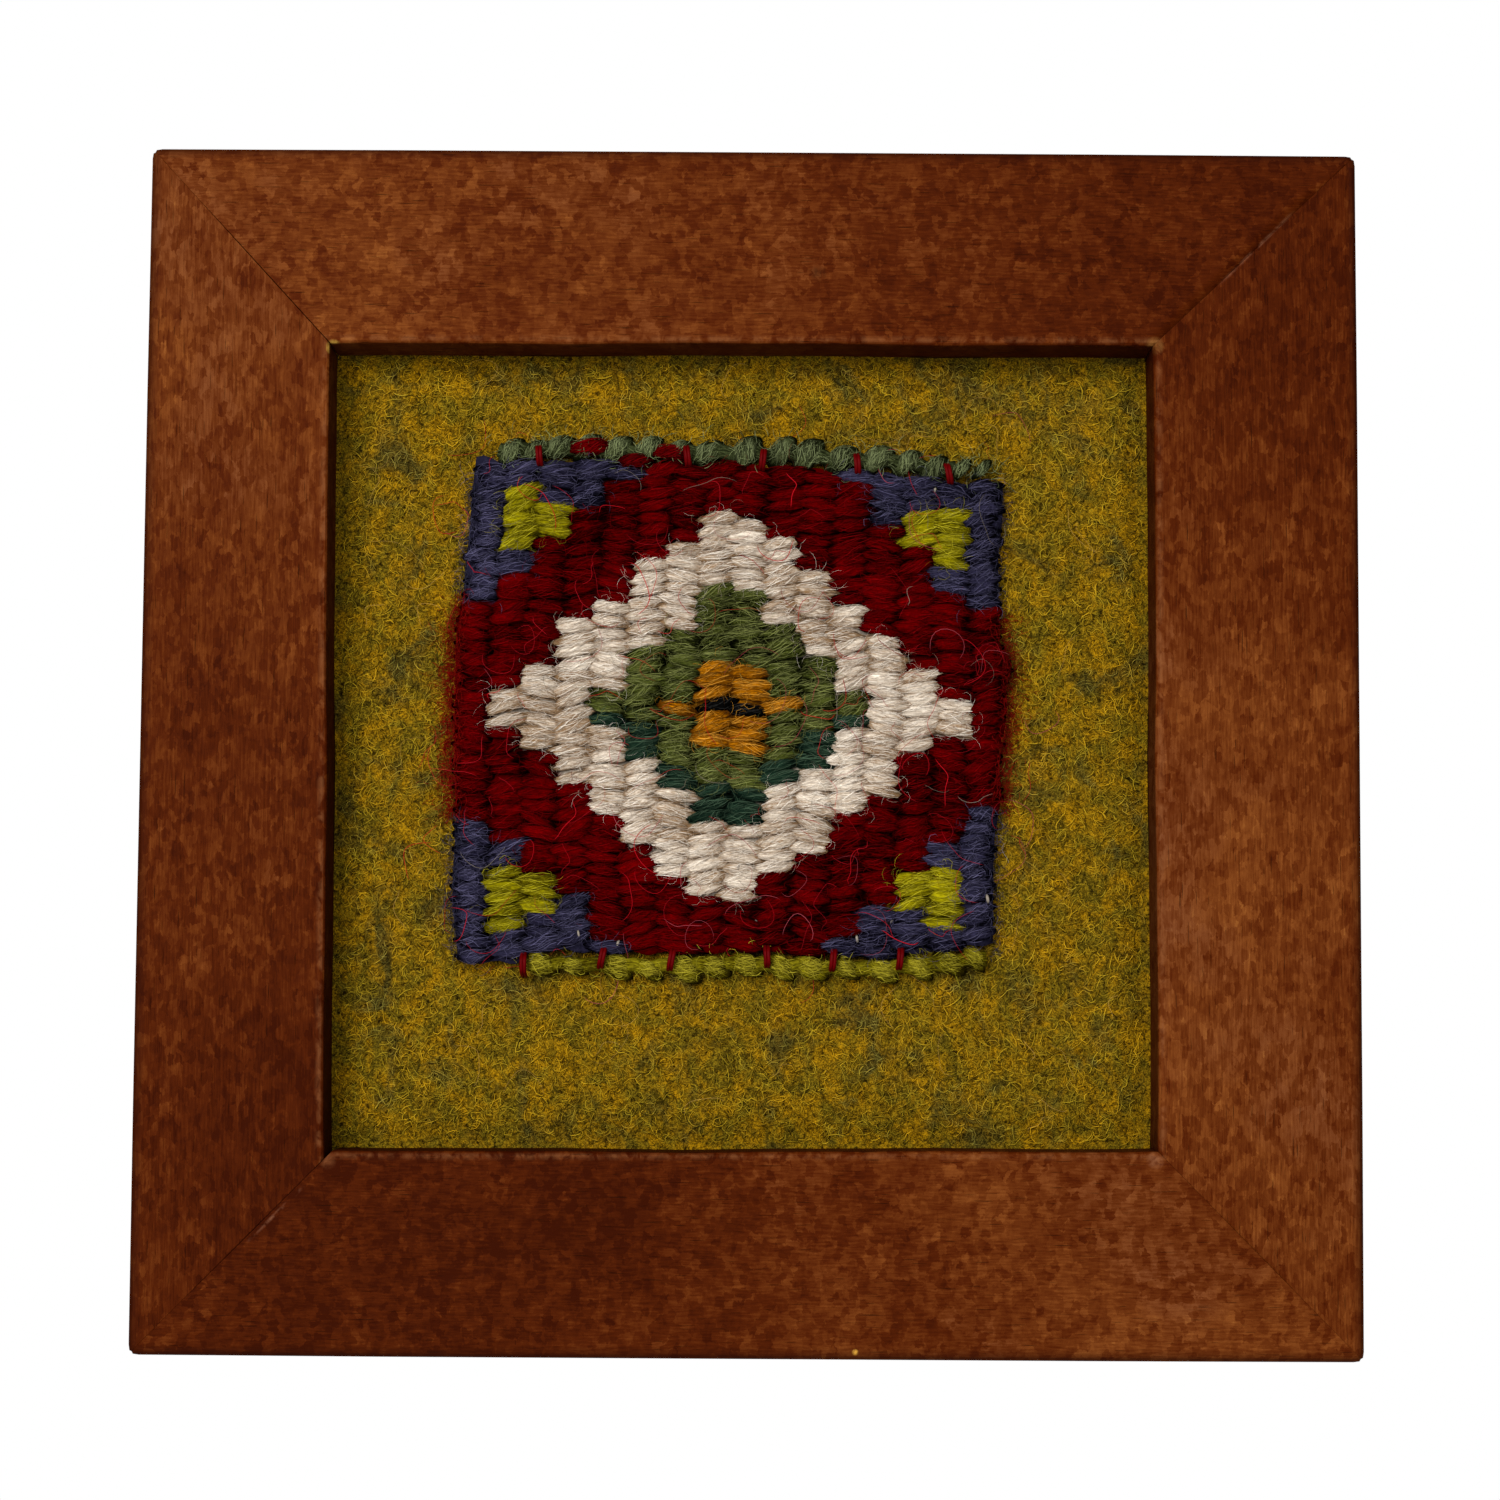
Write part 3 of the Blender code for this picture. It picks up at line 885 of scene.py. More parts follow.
def stained_wood(name, streak_size, flake_size, crack_size):
    """Red-brown stained hardwood: streaks, flakes, clouds in the stain, cracks, a pale dusting that
    is partly painted sheen, a worn inner edge with a painted highlight, and painted shade on the rim
    and inner walls.
    """
    paint = Paint(name, roughness=0.6, specular=0.015)
    place = paint.place()
    streaks = paint.grain(place, streak_size, detail=4.0, rough=0.6)
    figure = paint.grain(place, (1.6 * MM, 2 * MM, 2.2 * MM), detail=4.0, rough=0.6, distortion=0.8)
    small = paint.flakes(place, flake_size)
    large = paint.flakes(place, tuple(side * 2.2 for side in flake_size))
    cloud = paint.grain(place, (22 * MM,) * 3, detail=2.0)
    # Patches of pale dusting and painted sheen
    dust_and_sheen = paint.grain(place, (19 * MM,) * 3, detail=3.0)
    share = 0.49 + (streaks - 0.5) * 0.7 + (figure - 0.5) * 0.4 + (cloud - 0.5) * 0.4
    share = share + (small - 0.5) * 0.34 + (large - 0.5) * 0.22
    share, dust_and_sheen = soak_stains(paint, share, dust_and_sheen)
    colour = paint.ramp(share, *STAIN_TONES)
    # The pale dusting and painted sheen, on the lighter wood
    dust_and_sheen_share = dust_and_sheen.above(0.45, 0.3) * share.above(0.42, 0.25) * (large + 0.3) * 0.4
    colour = paint.blend(dust_and_sheen_share, colour, WOOD_DUST_AND_SHEEN)
    cracks = paint.grain(place, crack_size, detail=2.0, rough=0.4).above(0.67, 0.05)
    colour = paint.blend(cracks * 0.7, colour, WOOD_CRACK)
    # The worn inner edge, paler: partly worn wood and partly a painted highlight
    wear = paint.attribute("wear") * figure.above(0.42, 0.2)
    colour = paint.blend(wear * 0.4, colour, WOOD_WORN_AND_HIGHLIT)
    colour = wood_marks(paint, colour, figure)
    # Painted shade on the outer rim and the inner walls
    colour = paint.blend(paint.attribute("pooled") * 0.7, colour, WOOD_PAINTED_SHADE)
    paint.set("Base Color", colour)
    paint.set("Roughness", 0.5 + figure * 0.2)
    paint.bump(streaks * 0.6 - cracks, 0.1 * MM, 0.5)
    return paint


def sewing_thread():
    """Glossy red thread with fine twisted strands."""
    paint = Paint("red_thread", roughness=0.5, specular=0.03)
    strands = paint.grain(paint.fibre_place(), (1.2, 0.12, 1.0), detail=2.0, turn=(0.0, 0.0, 0.6))
    paint.set("Base Color", paint.blend(strands, "#200000", "#6e0206"))
    paint.bump(strands, 0.06 * MM)
    return paint


def warp_cotton():
    paint = Paint("warp_cotton", roughness=0.9, specular=0.1)
    strands = paint.grain(paint.fibre_place(), (1.2, 0.2, 1.0), detail=2.0, turn=(0.0, 0.0, 0.5))
    paint.set("Base Color", paint.blend(strands, "#5a5048", "#a59a8c"))
    paint.bump(strands, 0.08 * MM)
    return paint


# Rails

Inside = namedtuple("Inside", "along across outward slope start")


def inner_edge(node):
    """A rail's inner edge, as the line that best follows the edge of its flat front."""
    along, across = (0, 2) if node in LEVEL_RAILS else (2, 0)
    outward = 1 if node in ("frame_top", "frame_right") else -1
    points = points_of(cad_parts[node])
    face = points[points[:, 1] < FRAME_FRONT + 0.02 * MM]
    inner = face[(face[:, across] - face[:, across].mean()) * outward < 0]
    slope, start = np.polyfit(inner[:, along], inner[:, across], 1)
    return Inside(along, across, outward, slope, start)


def from_inner_edge(points, inside):
    """How far out from its rail's inner edge each point lies."""
    line = inside.start + inside.slope * points[:, inside.along]
    return inside.outward * (points[:, inside.across] - line)


def corner_way(corner):
    """Which way a corner lies from the frame's centre: minus or plus one across and up."""
    return np.array([inner_edge(corner.upright).outward, inner_edge(corner.level).outward])


def close_mitres(points):
    """Moves the ends of a rail up to its mitres, where the solids keep a small gap."""
    flat = points[:, [0, 2]] - (0, CENTRE_Z)
    opens_at, opens_over = MITRE_OPENS
    for corner in CORNERS:
        way = corner_way(corner)
        inward = -way / math.sqrt(2)
        normal = np.array([-inward[1], inward[0]])
        from_tip = flat - FRAME_HALF * way
        off = from_tip @ normal
        along = from_tip @ inward
        near = (along < MITRE_REACH) & (np.abs(off) < MITRE_BLEND)
        close = MITRE_GAP - corner.left_open * np.clip((along - opens_at) / opens_over, LEAST_OPEN, 1)
        push = np.sign(off) * close * (1 - np.abs(off) / MITRE_BLEND) * near
        flat -= push[:, None] * normal
    points[:, [0, 2]] = flat + (0, CENTRE_Z)


def slide_ends(points, node):
    """Slides a rail's ends along it, so that its mitres run to the corners of the opening."""
    for corner in CORNERS:
        if node not in (corner.level, corner.upright):
            continue
        level = inner_edge(corner.level)
        upright = inner_edge(corner.upright)
        tip = FRAME_HALF * corner_way(corner) + (0, CENTRE_Z)
        z = (level.start + level.slope * upright.start) / (1 - level.slope * upright.slope)
        x = upright.start + upright.slope * z
        steep = abs(z - tip[1]) / abs(x - tip[0])
        from_tip = np.abs(points[:, [0, 2]] - tip)
        across, along, ratio = (0, 1, steep) if node == corner.upright else (1, 0, 1 / steep)
        off = np.abs(from_tip[:, along] - from_tip[:, across])
        share = corner.drawn_in * np.clip(1 - off / SLIDE_BLEND, 0, 1)
        slide = from_tip[:, across] * (ratio - 1) * share
        points[:, (0, 2)[along]] -= corner_way(corner)[along] * slide


def cut_bands(inside):
    """Cuts narrow bands along the inner and outer edges of a rail: the worn inner edge with its
    painted highlight, and the outer rim for its painted shade.
    """
    straight = np.zeros(3)
    straight[inside.across] = 1
    normal = straight.copy()
    normal[inside.along] = -inside.slope
    rim = np.array((0, 0, CENTRE_Z))
    start = rim.copy()
    start[inside.across] = inside.start + inside.slope * rim[inside.along]
    rim[inside.across] += inside.outward * (FRAME_HALF[inside.across // 2] - RIM_BAND)
    cuts = [(start + normal * inside.outward * band, normal) for band in WEAR_AND_HIGHLIGHT_BANDS]
    for place, way in (*cuts, (rim, straight)):
        bpy.ops.mesh.select_all(action="SELECT")
        bpy.ops.mesh.bisect(plane_co=tuple(place), plane_no=tuple(way))


def cut_rail(node, inside):
    """A copy of a rail's solid, cut finer for its planed face and its worn edges."""
    obj = linked(node + "_finished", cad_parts[node].data.copy())
    choose(obj)
    bpy.ops.object.mode_set(mode="EDIT")
    bpy.ops.mesh.select_all(action="SELECT")
    bpy.ops.mesh.remove_doubles(threshold=0.002 * MM)
    bpy.ops.mesh.tris_convert_to_quads()
    bpy.ops.mesh.subdivide(number_cuts=RAIL_CUTS)
    cut_bands(inside)
    bpy.ops.object.mode_set(mode="OBJECT")
    return obj


def rail_wear_highlight_and_shade(obj, points, inside):
    """Marks a rail's worn inner edge, which is also a painted highlight, and paints shade on its
    outer rim and inner wall.
    """
    x, y, z = points.T
    depth = y - FRAME_FRONT
    outer = np.min([FRAME_HIGH.x - np.abs(x), FRAME_HIGH.z - z, z - FRAME_LOW.z], axis=0)
    beyond = from_inner_edge(points, inside)
    # Painted shade on the rounded outer rim and on the inner wall
    rim = np.clip(RIM_START - np.maximum(depth, outer) / RIM_FADE, 0, 1)
    behind = np.clip((depth - WALL_FADE) / WALL_FADE, 0, 1)
    wall = WALL_SHADE * (beyond < -WALL_FADE) * behind
    # The worn band along the inner edge, which is also a painted highlight
    bands = (-0.5 * MM, -0.1 * MM, 0.1 * MM, *WEAR_AND_HIGHLIGHT_BANDS)
    worn = np.interp(beyond, bands, (0, 1, 1, 0.5, 0))
    set_values(obj, "pooled", np.maximum(rim, wall))
    set_values(obj, "wear", worn * (depth < WEAR_AND_HIGHLIGHT_DEPTH))


def rail(node, paint):
    """A rail on its solid's shape, with closed mitres, a hand-planed face, a worn inner edge with a
    painted highlight, and painted shade on its rim and inner wall.
    """
    inside = inner_edge(node)
    obj = cut_rail(node, inside)
    points = points_of(obj)
    rail_wear_highlight_and_shade(obj, points, inside)
    face = points[:, 1] - FRAME_FRONT < FACE_DEPTH
    close_mitres(points)
    slide_ends(points, node)
    points[:, 1] += face * PLANE_WAVE * (1 + wave_field(points, PLANE_WAVE_SIZE, len(node)))
    set_points(obj, points)
    choose(obj)
    bpy.ops.object.shade_smooth_by_angle(angle=math.radians(40))
    return finished(obj, paint, "stained_wood", node)


# Felt

def felt_front(x, z):
    """The felt's front: flat behind the lip and puffed up in the aperture."""
    edges = [x - APERTURE_LEFT, APERTURE_RIGHT - x, z - APERTURE_BOTTOM, APERTURE_TOP - z]
    share = np.clip(np.min(edges, axis=0) / FELT_ROLL, 0, 1)
    puff = share * share * (3 - 2 * share)
    return FELT_BACK - FELT_THICKNESS - puff * FELT_PUFF


def sheet_grid(name, columns, rows, place, thickness):
    """A sheet from a grid primitive, put in place by shares across and up, then thickened."""
    bpy.ops.mesh.primitive_grid_add(x_subdivisions=columns, y_subdivisions=rows, size=1)
    obj = bpy.context.object
    obj.name = name
    obj.data.name = name
    share = points_of(obj)[:, :2] + 0.5
    set_points(obj, np.stack(place(share[:, 0], share[:, 1]), -1))
    solid = obj.modifiers.new("thickness", "SOLIDIFY")
    solid.thickness = thickness
    solid.offset = -1
    apply_modifiers(obj)
    return obj


def felt_sheet():
    def place(across, up):
        x = FELT_LOW.x + across * (FELT_HIGH.x - FELT_LOW.x)
        z = FELT_LOW.z + up * (FELT_HIGH.z - FELT_LOW.z)
        lumps = wave_field(np.stack([x, z], -1), FELT_LUMP_SIZE, 5)
        front = felt_front(x, z)
        puff = (FELT_BACK - FELT_THICKNESS - front) / FELT_PUFF
        return x, front + lumps * FELT_LUMPS * puff, z

    obj = sheet_grid("felt_sheet", FELT_CELLS, FELT_CELLS, place, FELT_THICKNESS)
    points = points_of(obj)
    back = points[:, 1] > FELT_BACK - FELT_BACK_BAND
    points[back, 1] = FELT_BACK
    set_points(obj, points)
    obj.data.shade_smooth()
    finished(obj, felt_ground(), "wool_felt", "felt_ground")
    return obj


def felt_fibres(name, seed, paint):
    """Short curly fibres over the bare felt."""
    rng = np.random.default_rng(seed)
    count = FELT_FIBRES
    low = (APERTURE_LEFT, APERTURE_BOTTOM)
    high = (APERTURE_RIGHT, APERTURE_TOP)
    starts = rng.uniform(low, high, (4 * count, 2))
    hidden = (starts[:, 0] > PANEL_LOW.x + 3 * MM) & (starts[:, 0] < PANEL_HIGH.x - 4 * MM)
    hidden &= (starts[:, 1] > PANEL_LOW.z + 2 * MM) & (starts[:, 1] < PANEL_HIGH.z - 3 * MM)
    starts = starts[~hidden]
    total = len(starts)
    lengths = rng.uniform(1.2, 3.6, total) * MM
    bends = rng.choice((-1, 1), total) * rng.uniform(0.2, 1.9, total) / MM
    headings = rng.uniform(0, TURN, total)
    paths = curly_paths(starts, headings, lengths, bends, SHORT_STATIONS)
    paths = within_aperture(paths, 0.25 * MM)[:count]
    lift = rng.gamma(2.0, 0.08, count)[:, None] * MM + 0.05 * MM
    paths[..., 1] = felt_front(paths[..., 0], paths[..., 2]) - lift * arch(SHORT_STATIONS)
    obj = hairs(name, paths, rng.uniform(0.036, 0.062, count) * MM, rng.beta(0.9, 1.0, count))
    return finished(obj, paint, "wool_felt")


# Weave

def float_cells():
    """The floats of each yarn, as (column, row) pairs."""
    cells = {yarn.name: [] for yarn in YARNS}
    for column in range(WARPS):
        for row in range(ROWS):
            cells[yarn_at(column, row)].append((column, row))
    return {name: np.array(pairs) for name, pairs in cells.items() if pairs}


def float_centres(cells):
    column = cells[:, 0]
    row = cells[:, 1]
    half_step = 0.5 * (column % 2)
    return weave_at((column + 0.5) / WARPS, (row + 0.5 + half_step) / (ROWS + 0.5))


def rib_front(x, z):
    """The weave's front between ribs and on them: one rib for each warp."""
    left = edge_at("left", z)
    share = (x - left) / (edge_at("right", z) - left) * WARPS
    off = np.abs((share % 1.0) - 0.5) * 2
    return PANEL_FRONT + 0.12 * MM + RIB_DEPTH * off**2


def weft_lumps(cells, seed):
    """The floats of some cells, a little slanted and uneven, as lumps of yarn."""
    rng = np.random.default_rng(seed)
    count = len(cells)
    x, z = float_centres(cells)
    from_side = np.minimum(cells[:, 0], WARPS - 1 - cells[:, 0])
    outer = (from_side == 0) * np.where(cells[:, 0] == 0, 1, -1)
    slant = np.radians(FLOAT_SLANT_DEG) * np.where(cells[:, 0] % 2, 1, -1)
    slant = slant + np.radians(rng.normal(0, 5.5, count))
    return Lumps(
        x + rng.normal(0, 0.28, count) * MM + outer * OUTER_SHIFT,
        z + rng.normal(0, 0.10, count) * MM,
        FLOAT_HALF_LENGTH * rng.uniform(0.82, 1.12, count) * np.where(outer, OUTER_SHORTER, 1),
        slant,
        FLOAT_RADIUS * rng.normal(1.0, 0.1, count).clip(0.78, 1.22),
        np.full(count, PANEL_FRONT + 0.05 * MM) + rng.uniform(0, 0.25, count) * MM,
        np.full(count, FLOAT_DIP),
        rng.normal(0, 0.14, count) * MM,
    )


def weft(yarn, cells, seed):
    """All the floats of one yarn, the fibres wound round them and the loose fuzz on top."""
    lumps = weft_lumps(cells, seed)
    body = lump_yarn("weft_" + yarn.name, lumps, seed)
    finished(body, wool(yarn.name + "_wool", yarn.dark, yarn.light), "tapestry_wool")
    paint = hair(yarn.name + "_hair", yarn.dark, yarn.hair)
    wound = lump_fibres("fibres_" + yarn.name, lumps, yarn.fibres, seed)
    finished(wound, paint, "tapestry_wool")
    fuzz = weft_fuzz(yarn, cells, seed)
    finished(fuzz, paint, "tapestry_wool")
    return [body, wound, fuzz]


def weft_fuzz(yarn, cells, seed):
    """Fine hairs that stand off one yarn's floats and cross their neighbours."""
    rng = np.random.default_rng(seed + 100)
    x, z = float_centres(cells)
    count = len(cells) * yarn.loose
    pick = rng.integers(0, len(cells), count)
    starts = np.stack([x[pick], z[pick]], -1)
    starts += rng.uniform((-2.4 * MM, -0.8 * MM), (2.0 * MM, 0.8 * MM), (count, 2))
    headings = rng.normal(0, 0.6, count) + rng.choice((0, math.pi), count)
    wild = rng.random(count) < 0.35
    headings[wild] = rng.uniform(0, TURN, wild.sum())
    lengths = rng.uniform(0.8, 3.2, count) * MM
    bends = rng.choice((-1, 1), count) * rng.uniform(0.3, 1.9, count) / MM
    paths = curly_paths(starts, headings, lengths, bends, SHORT_STATIONS)
    lift = rng.gamma(1.8, 0.13, count)[:, None] * MM * arch(SHORT_STATIONS)
    paths[..., 1] = rib_front(paths[..., 0], paths[..., 2]) - lift + 0.02 * MM
    radii = rng.uniform(0.65, 1.35, count) * yarn.loose_radius * MM
    return hairs("fuzz_" + yarn.name, paths, radii, rng.beta(1, 1, count))


def weave_core():
    """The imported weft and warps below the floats, as one thin sheet in the design's colours."""
    shade = {yarn.name: np.mean([linear(yarn.dark), linear(yarn.light)], axis=0) for yarn in YARNS}

    def place(across, up):
        x, z = weave_at(across, up)
        return x, rib_front(x, z) + CORE_DEPTH, z

    obj = sheet_grid("weave_core", 4 * WARPS, 2 * ROWS, place, CORE_THICKNESS)
    x, _, z = points_of(obj).T
    left = edge_at("left", z)
    right = edge_at("right", z)
    column = ((x - left) / (right - left) * WARPS).clip(0, WARPS - 0.01).astype(int)
    set_colours(obj, "yarn_colour", [shade[yarn_at(c, r)] for c, r in zip(column, row_at(x, z))])
    obj.data.shade_smooth()
    finished(obj, core_wool(), "tapestry_wool", "tapestry_panel")
    return obj


# Cords

# Each place is a lump: how far it lies from the frame's centre and its radius, in millimetres
Cord = namedtuple("Cord", "node edge side slant places slot dark light hair loose")
CORDS = (
    Cord(
        "header_cord", "top", 1, 40,
        (
            (-30.6, 1.0), (-27.8, 0.8), (-24.6, 1.1), (-21.0, 1.1), (-17.2, 1.2), (-13.2, 1.1),
            (-9.6, 1.0), (-5.7, 1.2), (-0.7, 1.45), (3.9, 1.25), (7.2, 1.5), (11.4, 1.3),
            (15.9, 1.4), (19.8, 1.15), (23.2, 1.15), (26.6, 0.75), (29.3, 0.6),
        ),
        "header_wool", "#15190a", "#5e673e", "#8a9464", 460,
    ),
    Cord(
        "footer_cord", "bottom", -1, -34,
        (
            (-26.3, 1.25), (-22.0, 0.85), (-16.8, 1.3), (-12.6, 0.9), (-8.0, 1.3), (-4.3, 1.1),
            (-0.4, 1.15), (3.9, 1.1), (7.8, 1.25), (12.3, 0.95), (16.8, 1.15), (21.3, 1.1),
            (25.3, 1.1), (28.4, 0.9),
        ),
        "footer_wool", "#2c2402", "#a09418", "#bcae30", 220,
    ),
)
CORD_HALF_LENGTH = 2.3 * MM
CORD_CORE_RADIUS = 0.95 * MM
CORD_GIRTH = 1.18
CORD_CLEAR = 1.65 * MM
CORD_DIP = 1.3 * MM
CORD_FIBRES = 90


def cord_lumps(cord, seed):
    """The lumps of a twined cord along its edge of the weave, from its table."""
    rng = np.random.default_rng(seed)
    table = np.array(cord.places) * MM
    x = table[:, 0]
    count = len(x)
    radius = table[:, 1] * CORD_GIRTH
    low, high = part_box(cord.node)
    return Lumps(
        x,
        edge_at(cord.edge, x) + cord.side * CORD_CLEAR + rng.normal(0, 0.12, count) * MM,
        CORD_HALF_LENGTH * np.sqrt(radius / radius.mean()),
        np.radians(cord.slant + rng.normal(0, 7, count)),
        radius,
        np.full(count, low.y) + 0.1 * MM,
        np.full(count, CORD_DIP),
        rng.normal(0, 0.1, count) * MM,
    )


def cord_core(cord, lumps, seed):
    """The strand that runs on behind the lumps of a cord."""
    low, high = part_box(cord.node)
    x = np.linspace(low.x + 0.3 * MM, high.x - 0.3 * MM, 90)
    z = edge_at(cord.edge, x) + cord.side * CORD_CLEAR
    path = np.stack([x, np.full_like(x, (low.y + high.y) / 2 + 0.2 * MM), z], -1)
    radii = CORD_CORE_RADIUS * (1 + 0.15 * wave_field(x[:, None], 6 * MM, seed))
    return tubes(cord.node + "_core", path[None], radii[None], YARN_SIDES, [0.2], seed=seed)


def twined_cord(cord, seed):
    """A cord of twined wool: its core, its lumps, the fibres round them and some fuzz."""
    lumps = cord_lumps(cord, seed)
    yarn = wool(cord.node + "_wool", cord.dark, cord.light)
    body = lump_yarn(cord.node + "_lumps", lumps, seed, woven=False)
    finished(body, yarn, cord.slot, cord.node)
    finished(cord_core(cord, lumps, seed), yarn, cord.slot)
    paint = hair(cord.node + "_hair", cord.dark, cord.hair)
    wound = lump_fibres(cord.node + "_fibres", lumps, CORD_FIBRES, seed, woven=False)
    finished(wound, paint, cord.slot)
    finished(cord_fuzz(cord, lumps, seed), paint, cord.slot)


def cord_fuzz(cord, lumps, seed):
    rng = np.random.default_rng(seed + 1)
    count = cord.loose
    pick = rng.integers(0, len(lumps.x), count)
    starts = np.stack([lumps.x[pick], lumps.z[pick]], -1)
    starts += rng.normal(0, 1, (count, 2)) * (1.5 * MM, 0.9 * MM)
    headings = rng.uniform(0, TURN, count)
    lengths = rng.uniform(0.8, 2.8, count) * MM
    bends = rng.normal(0, 1.0, count) / MM
    paths = curly_paths(starts, headings, lengths, bends, SHORT_STATIONS)
    lift = rng.gamma(1.5, 0.16, count)[:, None] * MM
    paths[..., 1] = lumps.front[pick, None] + 0.5 * MM - lift * arch(SHORT_STATIONS)
    radii = rng.uniform(0.02, 0.04, count) * MM
    return hairs(cord.node + "_fuzz", paths, radii, rng.beta(1, 1, count))


# The top weft bulges over the header, at these places along it, heights above the edge, half
# lengths and radii, in millimetres
OVER_HEADER = ((-20.6, 1.5, 3.4, 1.15), (-10.4, 1.6, 2.9, 1.1), (-14.9, 0.5, 2.6, 0.9))
OVER_HEADER_SLANT_DEG = (4, -6, 2)
OVER_HEADER_FIBRES = 50


def weft_over_header(seed):
    table = np.array(OVER_HEADER) * MM
    x = table[:, 0]
    count = len(x)
    lumps = Lumps(
        x,
        edge_at("top", x) + table[:, 1],
        table[:, 2],
        np.radians(OVER_HEADER_SLANT_DEG),
        table[:, 3],
        np.full(count, PANEL_FRONT + 0.02 * MM),
        np.full(count, FLOAT_DIP),
        np.zeros(count),
    )
    red = YARNS[0]
    body = lump_yarn("weft_over_header", lumps, seed, woven=False)
    finished(body, wool("red_top_wool", red.dark, red.light), "tapestry_wool")
    wound = lump_fibres("fibres_over_header", lumps, OVER_HEADER_FIBRES, seed, woven=False)
    finished(wound, hair("red_top_hair", red.dark, red.hair), "tapestry_wool")


# Red tacking stitches over the top and bottom edges, at their places along them
STITCH_PLACES = {
    "top": (-27.0, -8.2, 1.4, 13.4, 25.0),
    "bottom": (-28.3, -18.4, -9.7, 2.3, 10.6, 19.0),
}
STITCH_RADIUS = 0.24 * MM
STITCH_REACH = (2.35 * MM, 3.1 * MM)
STITCH_FRONT = PANEL_FRONT - 0.28 * MM
STITCH_DIP = 2.9 * MM


def tacking_stitches():
    """Each stitch is two threads side by side, from the felt over the cord into the weave."""
    rng = np.random.default_rng(81)
    share = np.linspace(0, 1, 12)
    paths = []
    for edge, side in (("top", 1), ("bottom", -1)):
        for place in STITCH_PLACES[edge]:
            x = place * MM
            z = float(edge_at(edge, x))
            lean = rng.normal(0, 0.5) * MM
            for thread in (-1, 1):
                path = np.empty((len(share), 3))
                path[:, 0] = x + thread * 0.2 * MM + lean * (share - 0.5)
                path[:, 2] = z + side * (STITCH_REACH[0] - STITCH_REACH[1] * share)
                path[:, 1] = STITCH_FRONT + STITCH_DIP * np.abs(2 * share - 1) ** 4
                paths.append(path)
    paths = np.array(paths)
    radii = np.full(paths.shape[:2], STITCH_RADIUS)
    tone = rng.uniform(0, 1, len(paths))
    obj = tubes("tacking_stitches", paths, radii, YARN_SIDES, tone, seed=82)
    return finished(obj, sewing_thread(), "tapestry_wool")


# Bits of warp that show between floats, in millimetres from the frame's centre
WARP_BITS = (
    (-21.4, -23.3), (-16.5, -24.6), (0.8, -21.9), (13.6, -23.7), (18.0, -21.2),
    (22.2, -23.2), (30.0, -18.6), (-1.4, -14.9), (-2.0, 29.3), (23.3, 33.4),
)


def warp_bits():
    rng = np.random.default_rng(91)
    places = np.array(WARP_BITS) * MM + (0, CENTRE_Z)
    count = len(places)
    share = np.linspace(-1, 1, 6)
    paths = np.zeros((count, len(share), 3))
    lean = rng.uniform(-0.6, 0.6, count)
    paths[..., 0] = places[:, 0, None] + share * lean[:, None] * 0.4 * MM
    paths[..., 2] = places[:, 1, None] + share * 0.55 * MM
    paths[..., 1] = rib_front(paths[..., 0], paths[..., 2]) + (0.1 + 0.5 * share**2) * MM
    radii = rng.uniform(0.12, 0.22, count)[:, None] * MM * (1 - 0.5 * share**4)
    obj = tubes("warp_bits", paths, radii, YARN_SIDES, rng.uniform(0, 1, count), seed=92)
    return finished(obj, warp_cotton(), "tapestry_wool")


# Stray hairs: their shortest and longest lengths, lift and radius in millimetres
Stray = namedtuple("Stray", "name dark light count low high lift radius reach")
STRAYS = (
    Stray("pink", "#6a2028", "#b04a54", 34, 3.0, 11.0, 0.7, 0.03, "weave"),
    Stray("pale", "#4c443a", "#988c7c", 20, 2.5, 8.0, 0.7, 0.024, "weave"),
    Stray("dark_red", "#6a0810", "#b01a24", 110, 2.0, 9.0, 0.6, 0.03, "weave"),
    Stray("tan", "#7a5a24", "#b8924a", 90, 3.0, 10.0, 0.7, 0.022, "felt"),
    Stray("brown", "#2a1a06", "#4a3410", 50, 2.0, 6.0, 0.5, 0.026, "felt"),
    Stray("curly_red", "#7a0810", "#b8141e", 40, 3.0, 9.0, 0.8, 0.046, "weave"),
)


def over_weave(x, z):
    inside = (x > edge_at("left", z)) & (x < edge_at("right", z))
    return inside & (z > edge_at("bottom", x)) & (z < edge_at("top", x))


def front_at(x, z):
    """What lies in front at a place: the weave, or the bare felt round it."""
    return np.where(over_weave(x, z), rib_front(x, z), felt_front(x, z) - 0.3 * MM)


